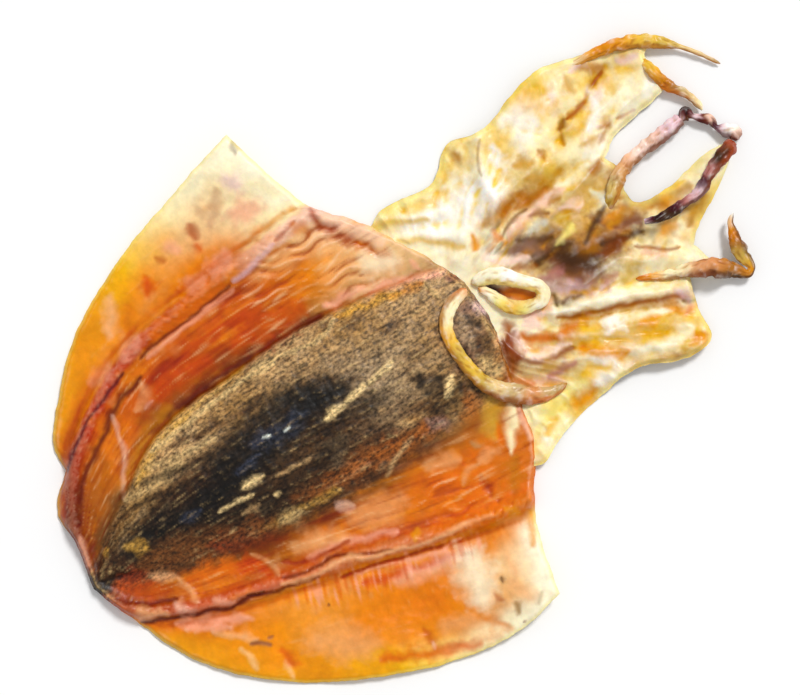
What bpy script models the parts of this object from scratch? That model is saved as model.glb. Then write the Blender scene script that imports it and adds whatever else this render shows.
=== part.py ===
"""A dried cuttlefish, opened flat and dried on its belly, as one solid.

+Y runs along the animal from the tail to the arms, +X is its right side seen from above, +Z is up.
The origin is under the middle of the whole, on the surface it lies on.
Sizes in this script are millimetres. MM turns them into Blender's metres where a mesh is made.
"""

import bmesh
import bpy
import numpy as np
from mathutils import Vector
from mathutils.geometry import delaunay_2d_cdt

MM = 0.001

# How fine the faceted solid is, with the least gaps between its points as shares of the spacing
MANTLE_SPACING = 4.6
HEAD_SPACING = 3.1
TUBE_SPACING = 2.6
CREST_GAP = 0.42
GRID_GAP = 0.7

# The mantle's outline, as smooth stretches between its corners, anticlockwise from the left corner
LEFT_FLAP_EDGE = ((-85.5, -11.5), (-81, -32.5), (-74, -59), (-64, -81.5), (-50, -98.5), (-38, -108), (-31.5, -108.5))
TAIL_LEFT_EDGE = ((-31.5, -108.5), (-22.5, -118), (-12.5, -118.5), (2.5, -122))
RIGHT_FLAP_EDGE = (
    (2.5, -122), (15.5, -118), (37, -109.5), (57.5, -91.5), (73.5, -66), (83.5, -41), (85.5, -22.5), (83, -8.5),
)
FRONT_EDGE = (
    (83, -8.5), (67, -4), (56.5, 1), (42, 12), (25, 16.5), (8, 21), (-8, 21.5),
    (-30.5, 13), (-45.5, 3.5), (-53.5, -3), (-65, -7), (-85.5, -11.5),
)

# Stations along the mantle: y, then x of the left fin band, the shield's left rim, the shield's right
# edge and the right fin band, and the shield's height
STATIONS = np.array((
    (-122, 0, 0, 4, 5, 3.0),
    (-116, -15, -3, 3.5, 13.5, 4.6),
    (-106, -30, -9.5, 6.8, 21, 6.4),
    (-95, -38.3, -15.5, 10.2, 26, 8.0),
    (-84, -44.2, -21.5, 13, 29.7, 9.2),
    (-70, -49.2, -24.6, 15.6, 34.2, 10.0),
    (-50, -51.3, -24.6, 19, 40.4, 10.2),
    (-30, -52, -25, 20.3, 47, 9.8),
    (-10, -52.3, -21.8, 20.2, 52.8, 9.0),
    (5, -52, -18.3, 20, 55.5, 7.8),
    (22, -50, -14.5, 14, 57, 6.0),
))

# Heights of the mantle
RIM_SHARE = 0.62
LEFT_RIM_SLOPE = 2.5
RIGHT_RIM_SLOPE = 8.0
SIDE_HEIGHT = 3.6
VALLEY_DEPTH = 0.7
VALLEY_WIDTH = 6.0
BAND_HEIGHT = 2.4
BAND_HALF_WIDTH = 2.6
CREASE_DEPTH = 0.9
CREASE_OFFSET = 4.6
FLAP_THICKNESS = 2.6
EDGE_THICKNESS = 1.3
THINNING = (4, 36)
FLAP_LIFT = 2.6
FLAP_WAVE = 1.3
LIFT_START = (2, 34)
LONG_WAVE = 11
SHORT_WAVE = 6.3
SHORT_WAVE_SHARE = 0.6
WAVE_SLANT = 9
CORNERS = ((-85.5, -11.5, 5.5, 22), (83, -8.5, 4.5, 18))

# Rows of points that carry the relief: the station's column, its outward side, and offsets outward
BAND_ROWS = (-7.8, -4, 0, CREASE_OFFSET, 8.6)
CREST_ROWS = ((1, -1, BAND_ROWS), (2, -1, (-4.2, 0, LEFT_RIM_SLOPE, 6.6)), (3, 1, (-4, 0, 4, RIGHT_RIM_SLOPE)),
              (4, 1, BAND_ROWS))

# The head's web, opened flat, anticlockwise from its left root under the mantle
HEAD_LEFT_EDGE = (
    (-36, 2), (-41, 14), (-39, 30.5), (-46, 41.5), (-43.5, 50), (-46.5, 64), (-48.5, 72), (-45, 88), (-40, 103),
    (-36, 109),
)
HEAD_TOP_EDGE = ((-36, 109), (-34.3, 105), (-31.2, 104.2), (-27.4, 104.3), (-22, 103))
FIRST_GAP_EDGE = ((-22, 103), (-20.5, 93), (-19, 83), (-15.5, 77))
ARM_ROOT_EDGE = ((-15.5, 77), (-10, 79), (-4.5, 76))
SECOND_GAP_EDGE = ((-4.5, 76), (-0.5, 76.5), (2.5, 87), (1.5, 95.5), (0.5, 103), (1.5, 110))
RIGHT_WEB_EDGE = ((1.5, 110), (5, 108), (11.5, 99), (17.5, 88), (21, 84))
RIGHT_TIP_EDGE = ((21, 84), (28, 86), (33, 88.5))
RIGHT_NOTCH_EDGE = ((33, 88.5), (30.5, 82), (28.5, 77.5))
HEAD_RIGHT_EDGE = (
    (28.5, 77.5), (37, 74.5), (47, 72), (48, 65.5), (41.5, 49), (42.5, 33), (45, 20), (48.5, 8), (40, 2),
)
HEAD_ROOT_EDGE = ((40, 2), (0, 6), (-36, 2))

# Heights of the head
HEAD_THICKNESS = 1.7
HEAD_EDGE_THICKNESS = 1.1
HEAD_LIFT = 1.7
RAY_WAVE = 1.1
RAYS = 9
RING_WAVE = 0.5
RING_WAVE_LENGTH = 7
WEB_LIFT_START = (22, 60)
FLOOR_GAP = 0.3
WEB_THINNING = (70, 110)
LEAST_FOLD = -0.4
NECK = (-4.0, 8.0)
MOUTH_MASS = (3.0, 50.0, 4.2, 15.0)
FOLD_LIFT_SHARE = 0.6

# Folds of the head: points along the crest, half width and height
FOLDS = (
    (((-37.5, 93), (-36, 88), (-33.5, 83), (-32.5, 74), (-28, 69)), 2.0, -1.0),
    (((-29, 104), (-26, 96), (-27, 86), (-25, 76)), 5.0, 2.6),
    (((-43, 50), (-33, 44), (-23, 42), (-17, 36)), 2.4, 2.0),
    (((-16, 24), (-20, 31), (-24, 45), (-24, 58), (-20, 74)), 3.4, 2.2),
    (((-38, 12), (-34, 18), (-30, 28)), 2.6, 1.6),
    (((-30, 10), (-27, 20), (-21, 28)), 2.6, 1.6),
    (((-10, 30), (-14, 42), (-14, 58), (-14, 74), (-13, 84)), 3.2, 2.0),
    (((-3, 52), (-4, 64), (-6, 76)), 3.2, 2.4),
    (((2, 54), (4, 66), (8, 80), (8, 92), (4, 106)), 3.2, 2.6),
    (((10, 52), (14, 66), (20, 76), (31, 86)), 3.2, 2.4),
    (((14, 38), (17, 47), (23, 60), (30, 75)), 2.6, 2.2),
    (((21, 36), (27, 48), (34, 62), (43, 72)), 2.6, 2.0),
    (((12.5, 20.5), (19, 22), (29, 38), (37, 54), (46, 68)), 3.0, 2.2),
    (((34, 12), (35, 26), (38, 40), (44, 56)), 3.0, 1.8),
)

# Arms that leave the web: points x, y, z and radius along each, with its root inside the web
ARMS = (
    ((-44, 84, 2.2, 0.8), (-42.5, 94, 2.6, 1.4), (-39, 104, 2.8, 1.8), (-33.5, 111.2, 2.6, 1.5),
     (-30.8, 113.8, 2.3, 0.8), (-24.5, 118.5, 1.8, 0.6), (-18.8, 121.8, 1.2, 0.4)),
    ((-34, 102.5, 2.6, 0.7), (-30, 103.2, 3, 1.4), (-26.6, 103.6, 3, 1.6), (-21.7, 105.3, 2.8, 1.5),
     (-17.6, 107.9, 2.6, 1.1), (-13.5, 109.1, 2.4, 1), (-10.5, 109.2, 2.4, 0.7)),
    ((-1.5, 66, 3, 0.8), (-4.6, 71.5, 3.4, 1.6), (-8, 76, 3.7, 2), (-10, 80.6, 3.8, 1.9), (-11.2, 87.3, 3.5, 1.8),
     (-11.3, 94, 3.1, 2.1), (-11.8, 99.5, 2.8, 2), (-12.3, 103, 2.5, 1.6)),
    ((-11.4, 101.6, 2.6, 0.8), (-12.4, 105, 3, 1.9), (-10.6, 105.9, 2.6, 0.7), (-8.9, 107.3, 2.6, 1.5),
     (-7.6, 108.2, 2.4, 0.6), (-6.5, 109.7, 2.4, 1.5), (-3.5, 109.8, 2.3, 0.7), (-1.7, 111.4, 2.4, 1.8),
     (0.2, 113, 2.5, 2.1), (2.9, 112.6, 2.5, 1.7)),
    ((6.6, 74.5, 6.4, 0.6), (8.7, 80.8, 7, 1.2), (9.1, 84.9, 7.2, 1.5), (9, 88.9, 7.2, 1.2), (9.2, 92.6, 7, 1.4),
     (8, 95.9, 6.8, 1.7), (6.3, 99.2, 6.4, 1.5), (4.9, 102.4, 5.8, 1.8), (4.1, 105.5, 5, 1.9), (3.4, 108.6, 4, 2),
     (2.7, 111.3, 3, 1.6)),
    ((19.4, 64, 3, 0.6), (23.6, 72, 3.4, 1.3), (26.7, 79.1, 3.6, 2), (29.3, 83.9, 3.4, 2.6), (32.3, 87.6, 3.2, 2.4),
     (35.4, 90.6, 3, 1.6), (37.7, 93.4, 3, 0.9), (36.5, 94.2, 3.4, 1), (32.7, 94, 3.8, 1.8), (28.5, 94.3, 4.2, 1.9),
     (24.9, 95.4, 4.4, 1.3), (21.9, 96.4, 4.4, 0.8), (19.9, 98.8, 4.2, 0.4)),
)

# The two long tentacles, curled up on the neck: points x, y and radius along each
TENTACLES = (
    ((-7.4, 23.1, 1.2), (-6.9, 26.5, 2), (-5.1, 30.7, 2.4), (-1.5, 33.7, 2.1), (2.2, 36.9, 1.8), (5.5, 39, 1.9),
     (8, 38.4, 2), (8.2, 34.9, 1.7), (6.7, 30.8, 1.9), (4, 28, 1.9), (0.4, 26.5, 1.6), (-3, 25.2, 1.3),
     (-5.4, 23.9, 0.9)),
    ((-7, 20.6, 1.3), (-6.4, 16.2, 1.7), (-4.6, 12, 1.8), (-0.8, 9, 1.8), (4.1, 7.7, 1.8), (9.5, 7.6, 1.8),
     (15, 8.1, 1.9), (20, 9.4, 2.2), (24, 12.1, 2.5), (27.9, 16, 2.6), (31.2, 20.3, 2.2), (33, 24.9, 1.4),
     (33.1, 29.2, 0.7)),
)
TENTACLE_SINK = 0.35
ARM_CLEARANCE = 0.35
ROOT_LENGTH = 6.0
SMOOTHING_PASSES = 6

SKIN_COLOUR = (0.42, 0.13, 0.025, 1)
SKIN_ROUGHNESS = 0.42
WELD_DISTANCE = 0.00002


def clear_scene():
    """Removes whatever the file held."""
    for item in list(bpy.data.objects):
        bpy.data.objects.remove(item)


def skin_material():
    """Dried orange-brown skin."""
    material = bpy.data.materials.new("dried_skin")
    material.use_nodes = True
    shader = material.node_tree.nodes["Principled BSDF"]
    shader.inputs["Base Color"].default_value = SKIN_COLOUR
    shader.inputs["Roughness"].default_value = SKIN_ROUGHNESS
    shader.inputs["Metallic"].default_value = 0.0
    return material


def smooth_value(at, knots, values):
    """A smooth curve through values given at rising knots, read at the places in at."""
    at = np.clip(at, knots[0], knots[-1])
    slopes = np.gradient(values, knots, axis=0)
    i = np.clip(np.searchsorted(knots, at, side="right") - 1, 0, len(knots) - 2)
    gap = knots[i + 1] - knots[i]
    t = (at - knots[i]) / gap
    if np.ndim(values) == 2:
        gap = gap[:, None]
        t = t[:, None]
    rise = 3 * t ** 2 - 2 * t ** 3
    start_bend = t * (1 - t) ** 2 * gap * slopes[i]
    end_bend = t ** 2 * (1 - t) * gap * slopes[i + 1]
    return values[i] * (1 - rise) + values[i + 1] * rise + start_bend - end_bend


def smooth_line(points, spacing):
    """Points about one spacing apart on a smooth curve through the given points."""
    points = np.array(points, float)
    lengths = np.linalg.norm(np.diff(points[:, :2], axis=0), axis=1)
    knots = np.concatenate(([0.0], np.cumsum(lengths)))
    count = max(2, round(knots[-1] / spacing) + 1)
    return smooth_value(np.linspace(0, knots[-1], count), knots, points)


def smooth_step(value, low, high):
    """0 below low, 1 above high and a soft rise between them."""
    t = np.clip((value - low) / (high - low), 0, 1)
    return t * t * (3 - 2 * t)


def mound(distance, half_width):
    """1 at distance 0, falling to nothing over about twice the half width."""
    return np.exp(-((distance / half_width) ** 2))


def outline(stretches, spacing):
    """A closed outline made of smooth stretches that meet at corners."""
    return np.concatenate([smooth_line(points, spacing)[:-1] for points in stretches])


def distance_to_line(line, x, y):
    """The distance from each place to a line of short straight pieces."""
    nearest = np.full(x.shape, np.inf)
    for start, end in zip(line[:-1], line[1:]):
        run = end[:2] - start[:2]
        t = np.clip(((x - start[0]) * run[0] + (y - start[1]) * run[1]) / (run @ run), 0, 1)
        gap = np.hypot(x - start[0] - t * run[0], y - start[1] - t * run[1])
        nearest = np.minimum(nearest, gap)
    return nearest


def inside(shape, x, y):
    """Whether each place is inside a closed outline."""
    result = np.zeros(x.shape, bool)
    for (ax, ay), (bx, by) in zip(shape, np.roll(shape, -1, axis=0)):
        if ay != by:
            crosses = (ay > y) != (by > y)
            result ^= crosses & (x < (bx - ax) * (y - ay) / (by - ay) + ax)
    return result


def station(column, y):
    """One column of the mantle's stations at each y."""
    return smooth_value(y, STATIONS[:, 0], STATIONS[:, column])


def band_distances(x, y):
    """Distances across from the left and the right fin band, positive on the flap's side."""
    distances = []
    for column, side in ((1, -1), (4, 1)):
        slope = station(column, y + 1) - station(column, y)
        distances.append(side * (x - station(column, y)) / np.sqrt(1 + slope ** 2))
    return distances


def flap_reach(x, y):
    """How far a place lies out on a flap, beyond its fin band."""
    left, right = band_distances(x, y)
    return np.maximum(np.maximum(left, right), 0)


def mantle_under(x, y):
    """The mantle's underside: flat under the body, lifted in soft waves under the flaps."""
    reach = flap_reach(x, y)
    waves = np.sin(y / LONG_WAVE + np.sign(x) * 0.8)
    waves = waves + SHORT_WAVE_SHARE * np.sin(y / SHORT_WAVE + reach / WAVE_SLANT + 2)
    lift = smooth_step(reach, *LIFT_START) * (FLAP_LIFT + FLAP_WAVE * waves) / 2
    for corner_x, corner_y, height, size in CORNERS:
        lift = lift + height * mound(np.hypot(x - corner_x, y - corner_y), size) * smooth_step(reach, 2, 20)
    return np.maximum(lift, 0)


def shield_height(x, y):
    """The domed shield along the back, with its steep left rim and its soft right edge."""
    left, right, height = (station(column, y) for column in (2, 3, 5))
    across = (x - (left + right) / 2) / np.maximum((right - left) / 2, 1)
    dome = height * (1 - (1 - RIM_SHARE) * np.clip(np.abs(across), 0, 1) ** 2)
    held = smooth_step(left - x, LEFT_RIM_SLOPE, 0) * smooth_step(x - right, RIGHT_RIM_SLOPE, 0)
    return dome, held


def mantle_top(x, y):
    """The mantle's upper side."""
    left, right = band_distances(x, y)
    reach = flap_reach(x, y)
    under = mantle_under(x, y)
    flap = FLAP_THICKNESS + (EDGE_THICKNESS - FLAP_THICKNESS) * smooth_step(reach, *THINNING)
    side = under + flap + (SIDE_HEIGHT - FLAP_THICKNESS) * smooth_step(reach, 6, 0)
    side = side - VALLEY_DEPTH * mound(station(2, y) - x - VALLEY_WIDTH / 2, VALLEY_WIDTH)
    for distance in (left, right):
        side = side + BAND_HEIGHT * mound(distance, BAND_HALF_WIDTH)
        side = side - CREASE_DEPTH * mound(distance - CREASE_OFFSET, BAND_HALF_WIDTH * 0.7)
    dome, held = shield_height(x, y)
    return side + np.maximum(dome - side, 0) * held


def fold_height(x, y):
    """All folds of the head together."""
    total = np.zeros(x.shape)
    for crest, half_width, height in FOLDS:
        line = smooth_line(crest, HEAD_SPACING)
        total = total + height * mound(distance_to_line(line, x, y), half_width)
    return total


def head_under(x, y):
    """The web's underside, in waves that fan out from the neck and follow its folds."""
    turn = np.arctan2(x - NECK[0], y - NECK[1])
    radius = np.hypot(x - NECK[0], y - NECK[1])
    waves = RAY_WAVE * np.sin(RAYS * turn + 0.7) + RING_WAVE * np.sin(radius / RING_WAVE_LENGTH + 3 * turn)
    away = smooth_step(radius, *WEB_LIFT_START)
    lift = (HEAD_LIFT + waves) * away + FOLD_LIFT_SHARE * fold_height(x, y)
    return np.maximum(lift, FLOOR_GAP * (1 - away))


def head_top(x, y):
    """The web's upper side."""
    radius = np.hypot(x - NECK[0], y - NECK[1])
    mass_x, mass_y, mass_height, mass_size = MOUTH_MASS
    mass = mass_height * mound(np.hypot(x - mass_x, y - mass_y), mass_size)
    thin = HEAD_THICKNESS + (HEAD_EDGE_THICKNESS - HEAD_THICKNESS) * smooth_step(radius, *WEB_THINNING)
    folds = (1 - FOLD_LIFT_SHARE) * fold_height(x, y)
    return head_under(x, y) + thin + mass + np.maximum(folds, LEAST_FOLD)


def mantle_outline(spacing):
    return outline((LEFT_FLAP_EDGE, TAIL_LEFT_EDGE, RIGHT_FLAP_EDGE, FRONT_EDGE), spacing)


def head_outline(spacing):
    return outline(
        (HEAD_LEFT_EDGE, HEAD_TOP_EDGE, FIRST_GAP_EDGE, ARM_ROOT_EDGE, SECOND_GAP_EDGE, RIGHT_WEB_EDGE,
         RIGHT_TIP_EDGE, RIGHT_NOTCH_EDGE, HEAD_RIGHT_EDGE, HEAD_ROOT_EDGE),
        spacing,
    )


def mantle_crests(spacing):
    """Lines along the fin bands, their feet and the shield's edges, where the relief turns sharply."""
    y = STATIONS[1:-1, 0]
    lines = []
    for column, side, offsets in CREST_ROWS:
        for offset in offsets:
            lines.append(smooth_line(np.column_stack((station(column, y) + side * offset, y)), spacing))
    return lines


def head_crests(spacing):
    """Lines along the head's folds."""
    return [smooth_line(crest, spacing) for crest, _, _ in FOLDS]


def spread_points(shape, crests, spacing):
    """Places inside an outline: first those on the crests, then a triangular grid, none too close together."""
    low = shape.min(axis=0)
    high = shape.max(axis=0)
    row_height = spacing * np.sqrt(3) / 2
    grid = [
        (low[0] + (column + 0.5 * (row % 2)) * spacing, low[1] + row * row_height)
        for row in range(int((high[1] - low[1]) / row_height) + 1)
        for column in range(int((high[0] - low[0]) / spacing) + 2)
    ]
    border = np.vstack((shape, shape[:1]))
    kept = []
    for places, least_gap in ((np.concatenate(crests), CREST_GAP), (grid, GRID_GAP)):
        for place in places:
            if not kept or np.min(np.hypot(*(np.array(kept) - place).T)) > spacing * least_gap:
                kept.append(place)
    kept = np.array(kept)
    within = inside(shape, kept[:, 0], kept[:, 1])
    clear = distance_to_line(border, kept[:, 0], kept[:, 1]) > spacing * CREST_GAP
    return kept[within & clear]


def sheet(name, shape, crests, spacing, under, top):
    """A closed solid between two height functions, both faces split into triangles alike."""
    places = np.concatenate((shape, spread_points(shape, crests, spacing)))
    rim = len(shape)
    edges = [(i, (i + 1) % rim) for i in range(rim)]
    flat, _, triangles, *_ = delaunay_2d_cdt([Vector(p) for p in places], edges, [], 1, 1e-5)
    model = bmesh.new()
    corners = [model.verts.new((p.x, p.y, 0)) for p in flat]
    for triangle in triangles:
        model.faces.new([corners[i] for i in triangle])
    bmesh.ops.recalc_face_normals(model, faces=model.faces)
    lower = list(model.faces)
    raised = bmesh.ops.extrude_face_region(model, geom=lower, use_keep_orig=True)
    upper = {item for item in raised["geom"] if isinstance(item, bmesh.types.BMVert)}
    for verts, height in ((upper, top), (set(model.verts) - upper, under)):
        verts = list(verts)
        x = np.array([v.co.x for v in verts])
        y = np.array([v.co.y for v in verts])
        for vert, z in zip(verts, height(x, y)):
            vert.co.z = z
    bmesh.ops.scale(model, vec=(MM, MM, MM), verts=model.verts)
    bmesh.ops.recalc_face_normals(model, faces=model.faces)
    mesh = bpy.data.meshes.new(name)
    model.to_mesh(mesh)
    model.free()
    return bpy.data.objects.new(name, mesh)


def tube(name, places):
    """A tapering round strand through points x, y, z and radius, made as a curve and turned into a mesh."""
    curve = bpy.data.curves.new(name, "CURVE")
    curve.dimensions = "3D"
    curve.bevel_depth = MM
    curve.bevel_resolution = 1
    curve.use_fill_caps = True
    spline = curve.splines.new("POLY")
    spline.points.add(len(places) - 1)
    for point, (x, y, z, radius) in zip(spline.points, places):
        point.co = (x * MM, y * MM, z * MM, 1)
        point.radius = radius
    guide = bpy.data.objects.new(name + "_line", curve)
    bpy.context.scene.collection.objects.link(guide)
    bpy.context.view_layer.update()
    evaluated = guide.evaluated_get(bpy.context.evaluated_depsgraph_get())
    mesh = bpy.data.meshes.new_from_object(evaluated)
    model = bmesh.new()
    model.from_mesh(mesh)
    bmesh.ops.remove_doubles(model, verts=model.verts, dist=WELD_DISTANCE)
    model.to_mesh(mesh)
    model.free()
    strand = bpy.data.objects.new(name, mesh)
    strand.matrix_world = guide.matrix_world
    bpy.data.objects.remove(guide)
    return strand


def surface_top(x, y):
    """The highest surface, of the mantle or the head, at each place."""
    on_mantle = inside(mantle_outline(MANTLE_SPACING), x, y)
    on_head = inside(head_outline(HEAD_SPACING), x, y)
    return np.maximum(np.where(on_mantle, mantle_top(x, y), 0), np.where(on_head, head_top(x, y), 0))


def lifted(points):
    """An arm's points, raised onto the web where it would be under it, but for its root."""
    x, y, z, radius = smooth_line(points, TUBE_SPACING).T
    length = TUBE_SPACING * np.arange(len(x))
    buried = np.maximum(surface_top(x, y) + ARM_CLEARANCE * radius - z, 0)
    return np.column_stack((x, y, z + buried * smooth_step(length, 0, ROOT_LENGTH), radius))


def laid_on_surface(points):
    """A tentacle's points with the height that lets it lie on what is under it."""
    x, y, radius = smooth_line(points, TUBE_SPACING).T
    z = surface_top(x, y) + radius * (1 - TENTACLE_SINK)
    for _ in range(SMOOTHING_PASSES):
        z[1:-1] = np.maximum(z[1:-1], (z[:-2] + z[2:]) / 2)
        z[1:-1] = (z[:-2] + 2 * z[1:-1] + z[2:]) / 4
    return np.column_stack((x, y, z, radius))


def union(base, others):
    """One closed mesh out of the base and the other objects."""
    group = bpy.data.collections.new("joined_parts")
    bpy.context.scene.collection.children.link(group)
    for item in others:
        group.objects.link(item)
    joining = base.modifiers.new("join", "BOOLEAN")
    joining.operation = "UNION"
    joining.operand_type = "COLLECTION"
    joining.collection = group
    joining.solver = "EXACT"
    joining.use_self = True
    bpy.context.view_layer.update()
    evaluated = base.evaluated_get(bpy.context.evaluated_depsgraph_get())
    mesh = bpy.data.meshes.new_from_object(evaluated)
    base.modifiers.clear()
    base.data = mesh
    for item in others:
        bpy.data.objects.remove(item)
    bpy.data.collections.remove(group)


def centre_on_floor(item):
    """Puts the box's middle over the origin and the lowest point on the floor."""
    corners = np.array([vert.co for vert in item.data.vertices])
    low = corners.min(axis=0)
    high = corners.max(axis=0)
    shift = Vector((-(low[0] + high[0]) / 2, -(low[1] + high[1]) / 2, -low[2]))
    for vert in item.data.vertices:
        vert.co += shift


def build():
    clear_scene()
    home = bpy.data.collections.new("dried_cuttlefish")
    bpy.context.scene.collection.children.link(home)
    cuttlefish = sheet(
        "cuttlefish", mantle_outline(MANTLE_SPACING), mantle_crests(MANTLE_SPACING), MANTLE_SPACING,
        mantle_under, mantle_top,
    )
    home.objects.link(cuttlefish)
    joined = [sheet("head", head_outline(HEAD_SPACING), head_crests(HEAD_SPACING), HEAD_SPACING, head_under, head_top)]
    joined += [tube(f"arm_{i}", lifted(points)) for i, points in enumerate(ARMS, 1)]
    joined += [tube(f"tentacle_{i}", laid_on_surface(points)) for i, points in enumerate(TENTACLES, 1)]
    union(cuttlefish, joined)
    centre_on_floor(cuttlefish)
    cuttlefish.data.materials.clear()
    cuttlefish.data.materials.append(skin_material())
    cuttlefish.data.shade_smooth()


build()
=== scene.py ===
"""A dried cuttlefish, opened flat: its back, fin bands, flaps, web, arms and tentacles, and the light.

Sizes in this script are millimetres, in the frame's axes: +Y from the tail to the arms, +X to its right side
seen from above, +Z up. MM turns them into Blender's metres where a mesh is made.
"""

import bpy
import numpy as np
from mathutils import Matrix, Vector
from mathutils.geometry import delaunay_2d_cdt
from mathutils.kdtree import KDTree


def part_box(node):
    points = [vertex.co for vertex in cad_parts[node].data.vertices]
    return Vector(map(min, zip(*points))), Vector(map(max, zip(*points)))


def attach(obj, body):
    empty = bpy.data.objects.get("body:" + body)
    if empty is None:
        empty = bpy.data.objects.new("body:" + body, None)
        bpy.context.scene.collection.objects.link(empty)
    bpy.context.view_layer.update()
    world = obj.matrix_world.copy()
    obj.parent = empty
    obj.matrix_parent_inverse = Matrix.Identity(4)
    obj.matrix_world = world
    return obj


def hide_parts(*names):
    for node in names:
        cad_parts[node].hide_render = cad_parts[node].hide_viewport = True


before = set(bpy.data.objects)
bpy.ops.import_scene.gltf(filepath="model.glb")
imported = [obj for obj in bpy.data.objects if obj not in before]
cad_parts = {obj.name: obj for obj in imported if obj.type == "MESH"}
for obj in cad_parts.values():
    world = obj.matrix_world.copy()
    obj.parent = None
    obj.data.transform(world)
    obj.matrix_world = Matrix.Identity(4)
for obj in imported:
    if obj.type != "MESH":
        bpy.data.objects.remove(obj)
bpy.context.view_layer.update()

MM = 0.001

# How fine the meshes are, with the gap at an outline as a share of the spacing
SKIN_SPACING = 0.5
WEB_SPACING = 0.36
UNDER_SPACING = 2.0
RIM_SPACING = 0.5
STRAND_SPACING = 0.35
STRAND_SIDES = 30
MARK_SPACING = 0.8
RIM_GAP = 0.6
OUTLINE_SPACING = 2.0

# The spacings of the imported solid, at which its outline, folds and strands are read
MANTLE_SPACING = 4.6
HEAD_SPACING = 3.1
TUBE_SPACING = 2.6

# The skin's edge: how rough its outline is, and the share of the thickness that is left at the edge itself,
# which grows to the whole over the rounding
RIM_ROUGHNESS = 0.45
NICK_SIZE = 5.0
EDGE_SHARE = 0.4
RIM_ROUNDING = 1.6

# The camera, straight above, turned so that the tail points to the picture's lower left
CAMERA_AIM = (-4.2, -5.5)
CAMERA_TURN = 55
CAMERA_LENS = 100
CAMERA_SENSOR = 36
PICTURE_WIDTH = 240

# The mantle's outline, as smooth stretches between its corners, anticlockwise from the left corner
LEFT_FLAP_EDGE = (
    (-85.5, -11.5), (-81, -32.5), (-74, -59), (-64, -81.5), (-50, -98.5), (-38, -108), (-31.5, -108.5),
)
TAIL_LEFT_EDGE = ((-31.5, -108.5), (-22.5, -118), (-12.5, -118.5), (2.5, -122))
RIGHT_FLAP_EDGE = (
    (2.5, -122), (15.5, -118), (37, -109.5), (57.5, -91.5), (73.5, -66), (83.5, -41), (85.5, -22.5),
    (83, -8.5),
)
FRONT_EDGE = (
    (83, -8.5), (67, -4), (56.5, 1), (42, 12), (25, 16.5), (8, 21), (-8, 21.5),
    (-30.5, 13), (-45.5, 3.5), (-53.5, -3), (-65, -7), (-85.5, -11.5),
)

# Stations along the mantle: y, then x of the left fin band, the shield's left rim, the shield's right
# edge and the right fin band, and the shield's height
STATIONS = np.array((
    (-122, 0, 0, 4, 5, 3.0),
    (-116, -15, -3, 3.5, 13.5, 4.6),
    (-106, -30, -9.5, 6.8, 21, 6.4),
    (-95, -38.3, -15.5, 10.2, 26, 8.0),
    (-84, -44.2, -21.5, 13, 29.7, 9.2),
    (-70, -49.2, -24.6, 15.6, 34.2, 10.0),
    (-50, -51.3, -24.6, 19, 40.4, 10.2),
    (-30, -52, -25, 20.3, 47, 9.8),
    (-10, -52.3, -21.8, 20.2, 52.8, 9.0),
    (5, -52, -18.3, 20, 55.5, 7.8),
    (22, -50, -14.5, 14, 57, 6.0),
))

# Heights of the mantle. A pair holds the distances where something starts and where it is full
RIM_SHARE = 0.62
LEFT_RIM_SLOPE = 2.5
RIGHT_RIM_SLOPE = 8.0
SIDE_HEIGHT = 3.6
VALLEY_DEPTH = 0.7
VALLEY_WIDTH = 6.0
BAND_HEIGHT = 2.4
BAND_HALF_WIDTH = 2.6
CREASE_DEPTH = 0.9
CREASE_OFFSET = 4.6
CREASE_SHARE = 0.7
SIDE_STEP = (6, 0)
FLAP_THICKNESS = 2.6
EDGE_THICKNESS = 1.3
THINNING = (4, 36)
FLAP_LIFT = 2.6
FLAP_WAVE = 1.3
LIFT_START = (2, 34)
LONG_WAVE = 11
SHORT_WAVE = 6.3
SHORT_WAVE_SHARE = 0.6
WAVE_SLANT = 9
SWELL_HEIGHT = 0.6
SWELL_SIZE = 13.0
SWELL_START = (3, 14)
THINNEST_SKIN = 0.3

# The flaps' raised corners: x, y, height and size
CORNERS = ((-85.5, -11.5, 5.5, 22), (83, -8.5, 4.5, 18))
CORNER_START = (2, 20)

# The head's web, opened flat, anticlockwise from its left root under the mantle
HEAD_LEFT_EDGE = (
    (-36, 2), (-41, 14), (-39, 30.5), (-46, 41.5), (-43.5, 50), (-46.5, 64), (-48.5, 72), (-45, 88),
    (-40, 103), (-36, 109),
)
HEAD_TOP_EDGE = ((-36, 109), (-34.3, 105), (-31.2, 104.2), (-27.4, 104.3), (-22, 103))
FIRST_GAP_EDGE = ((-22, 103), (-20.5, 93), (-19, 83), (-15.5, 77))
ARM_ROOT_EDGE = ((-15.5, 77), (-10, 79), (-4.5, 76))
SECOND_GAP_EDGE = ((-4.5, 76), (-0.5, 76.5), (2.5, 87), (1.5, 95.5), (0.5, 103), (1.5, 110))
RIGHT_WEB_EDGE = ((1.5, 110), (5, 108), (11.5, 99), (17.5, 88), (21, 84))
RIGHT_TIP_EDGE = ((21, 84), (28, 86), (33, 88.5))
RIGHT_NOTCH_EDGE = ((33, 88.5), (30.5, 82), (28.5, 77.5))
HEAD_RIGHT_EDGE = (
    (28.5, 77.5), (37, 74.5), (47, 72), (48, 65.5), (41.5, 49), (42.5, 33), (45, 20), (48.5, 8), (40, 2),
)
HEAD_ROOT_EDGE = ((40, 2), (0, 6), (-36, 2))

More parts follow.
